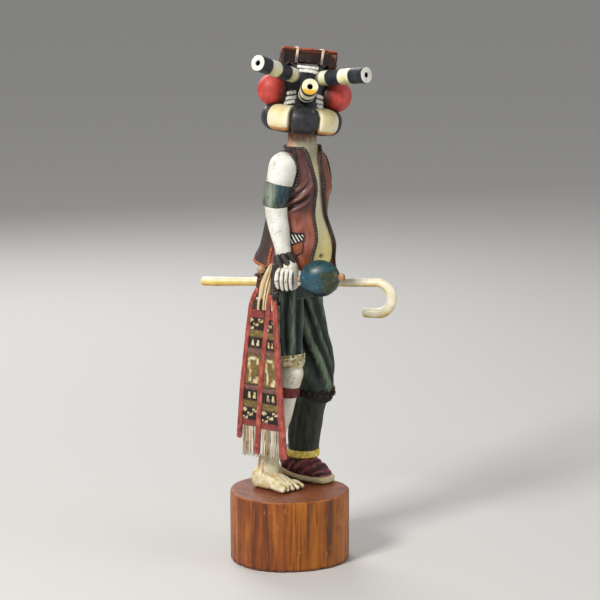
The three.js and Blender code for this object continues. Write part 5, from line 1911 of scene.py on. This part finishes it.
bend_end = cane_points[-1]
for gone, share in ((2, 1), (4, 1), (6, 0.99), (7.6, 0.97), (8.8, 0.88), (9.5, 0.7), (hook_end, 0.4)):
    cane_points.append(bend_end - level_run * gone)
    cane_sizes.append(hook_thick * share)
line, sizes = np.array(cane_points), np.array(cane_sizes)
flat_side = np.cross(level_run, drop)
face = np.cross(unit(np.gradient(line, axis=0)), flat_side)
rings = strip(line, face, sizes, sizes, sides=48)
out = unit(rings - line[:, None])
rings = pushed(rings, out, rough(rings, (7, 7, 7), 3) * 0.22)
points, faces = skin(rings)
under = with_ends(-out[..., 2])
cloud = rough(points, (5, 5, 5), 3)
behind = (points - hand_left) @ cane_run
cane_colours = mix((240, 236, 222), (236, 226, 192), 0.5 + cloud)
rear = 1 - ramp(behind, -30, 4)
cane_colours = mix(cane_colours, (232, 204, 112), rear * ramp(under + 0.3 * cloud, -0.9, 0.2) * 0.8)
cane_colours = mix(cane_colours, (216, 182, 84), ramp(under + 0.3 * cloud, 0.15, 0.8) * 0.9)
tip_stain = (1 - ramp(behind, -84, -60)) * ramp(under + 0.4 * cloud, 0.35, 0.8)
cane_colours = mix(cane_colours, (198, 104, 34), tip_stain)
rear_stain = (1 - ramp(behind, -60, -20)) * ramp(under, -0.6, 0.5)
cane_colours = mix(cane_colours, (214, 176, 70), rear_stain * 0.45)
# Darker brown under the rod ahead of the hand: painted shadow.
front_underside_shadow = ramp(under + 0.2 * cloud, 0.62, 0.95) * ramp(behind, 4, 14)
cane_colours = mix(cane_colours, (150, 116, 84), front_underside_shadow * 0.7)
cane_paint = painted(
    "cane_paint", grime_and_shade=(150, 96, 44), bare=(244, 240, 224), depth=0.4, patches=0.15, wear=0.2, cracks=0.4,
    roughness=0.35, cloud=0.06, bump=0.2, gloss=0.15,
)
cane_piece = body("cane_rod", points, faces, cane_colours, cane_paint)
fasten(cane_piece, "cane")

# Gourd rattle in the right hand.
# A thick glossy disc of gourd, blue-green over olive, on a turned stick that shows as a tan nub in front.
gourd_along, gourd_tall, gourd_thick, gourd_reach = 13, 11.6, 8.2, 20.2
stick_radius, stick_behind, nub_past = 2.2, 10, 3.4
stick_run = heading(handle_turn, handle_rise)
stick_across = unit(np.cross((0, 0, 1), stick_run))
stick_up = np.cross(stick_run, stick_across)
gourd_centre = hand_right + stick_run * gourd_reach
share = np.cos(np.linspace(math.pi - 0.03, 0.03, 84))
angle = once_round(110)
size = np.sqrt(1 - share**2)
offset = (
    share[:, None, None] * gourd_along * stick_run
    + (size[:, None] * np.cos(angle) * gourd_thick)[..., None] * stick_across
    + (size[:, None] * np.sin(angle) * gourd_tall)[..., None] * stick_up
)
offset *= (1 + rough(offset, (9, 9, 9), 2) * 0.025)[..., None]
points, faces = skin(gourd_centre + offset)
toward = (points - gourd_centre) @ view_right / gourd_along
low = (gourd_centre[2] - points[:, 2]) / gourd_tall
cloud = rough(points, (5, 5, 5), 7)
brush = rough(points, (2, 2, 9), 3)
gourd_colours = mix((36, 78, 86), (24, 56, 62), 0.5 + cloud)
blue = ramp(0.3 * brush - toward, -0.1, 0.15) * ramp(low, -0.5, -0.2)
gourd_colours = mix(gourd_colours, (34, 76, 92), blue)
olive = ramp(toward + 0.35 * brush + 0.2 * cloud, -0.1, 0.25) * ramp(low + 0.5 * cloud, -0.7, -0.2)
gourd_colours = mix(gourd_colours, mix((52, 62, 44), (66, 66, 38), 0.5 + brush), olive * 0.9)
# Nearly black at the bottom: painted shade.
gourd_colours = mix(gourd_colours, (12, 24, 26), ramp(low + 0.15 * cloud, 0.5, 0.92))
brown_flecks = ramp(rough(points, (2.2, 2.2, 1.4), 14), 0.38, 0.55)
gourd_colours = mix(gourd_colours, (110, 92, 48), brown_flecks * 0.5)
pale_flecks = ramp(rough(points, (1.4, 1.4, 1.4), 11), 0.42, 0.6)
gourd_colours = mix(gourd_colours, (112, 150, 152), pale_flecks * 0.6)
gourd_paint = painted(
    "gourd_glaze", grime_and_shade=(18, 30, 26), bare=(120, 160, 160), depth=0.4, patches=0.35, wear=0.3, cracks=0.15,
    roughness=0.36, gloss=0.12,
)
gourd_piece = body("gourd", points, faces, gourd_colours, gourd_paint)
fasten(gourd_piece, "rattle")
tip = gourd_reach + gourd_along
stick_rows = [
    (-stick_behind, 1.2), (-stick_behind + 0.5, 2.0), (-stick_behind + 1.4, stick_radius),
    (0, stick_radius), (tip - 1, 2.3), (tip + 0.4, 2.5), (tip + 1.4, 2.1), (tip + 2.6, 2.3),
    (tip + 3.1, 1.9), (tip + nub_past, 1.1),
]
rows = smooth_rows([[*(hand_right + stick_run * d), r] for d, r in stick_rows], 8)
face = np.tile(stick_up, (len(rows), 1))
points, faces = skin(strip(rows[:, :3], face, rows[:, 3], rows[:, 3], sides=40))
stick_colours = mix((196, 156, 112), (150, 106, 66), 0.5 + 1.2 * rough(points, (2, 2, 2), 3))
stick_piece = body("rattle_stick", points, faces, stick_colours, cloth_trim)
fasten(stick_piece, "rattle")
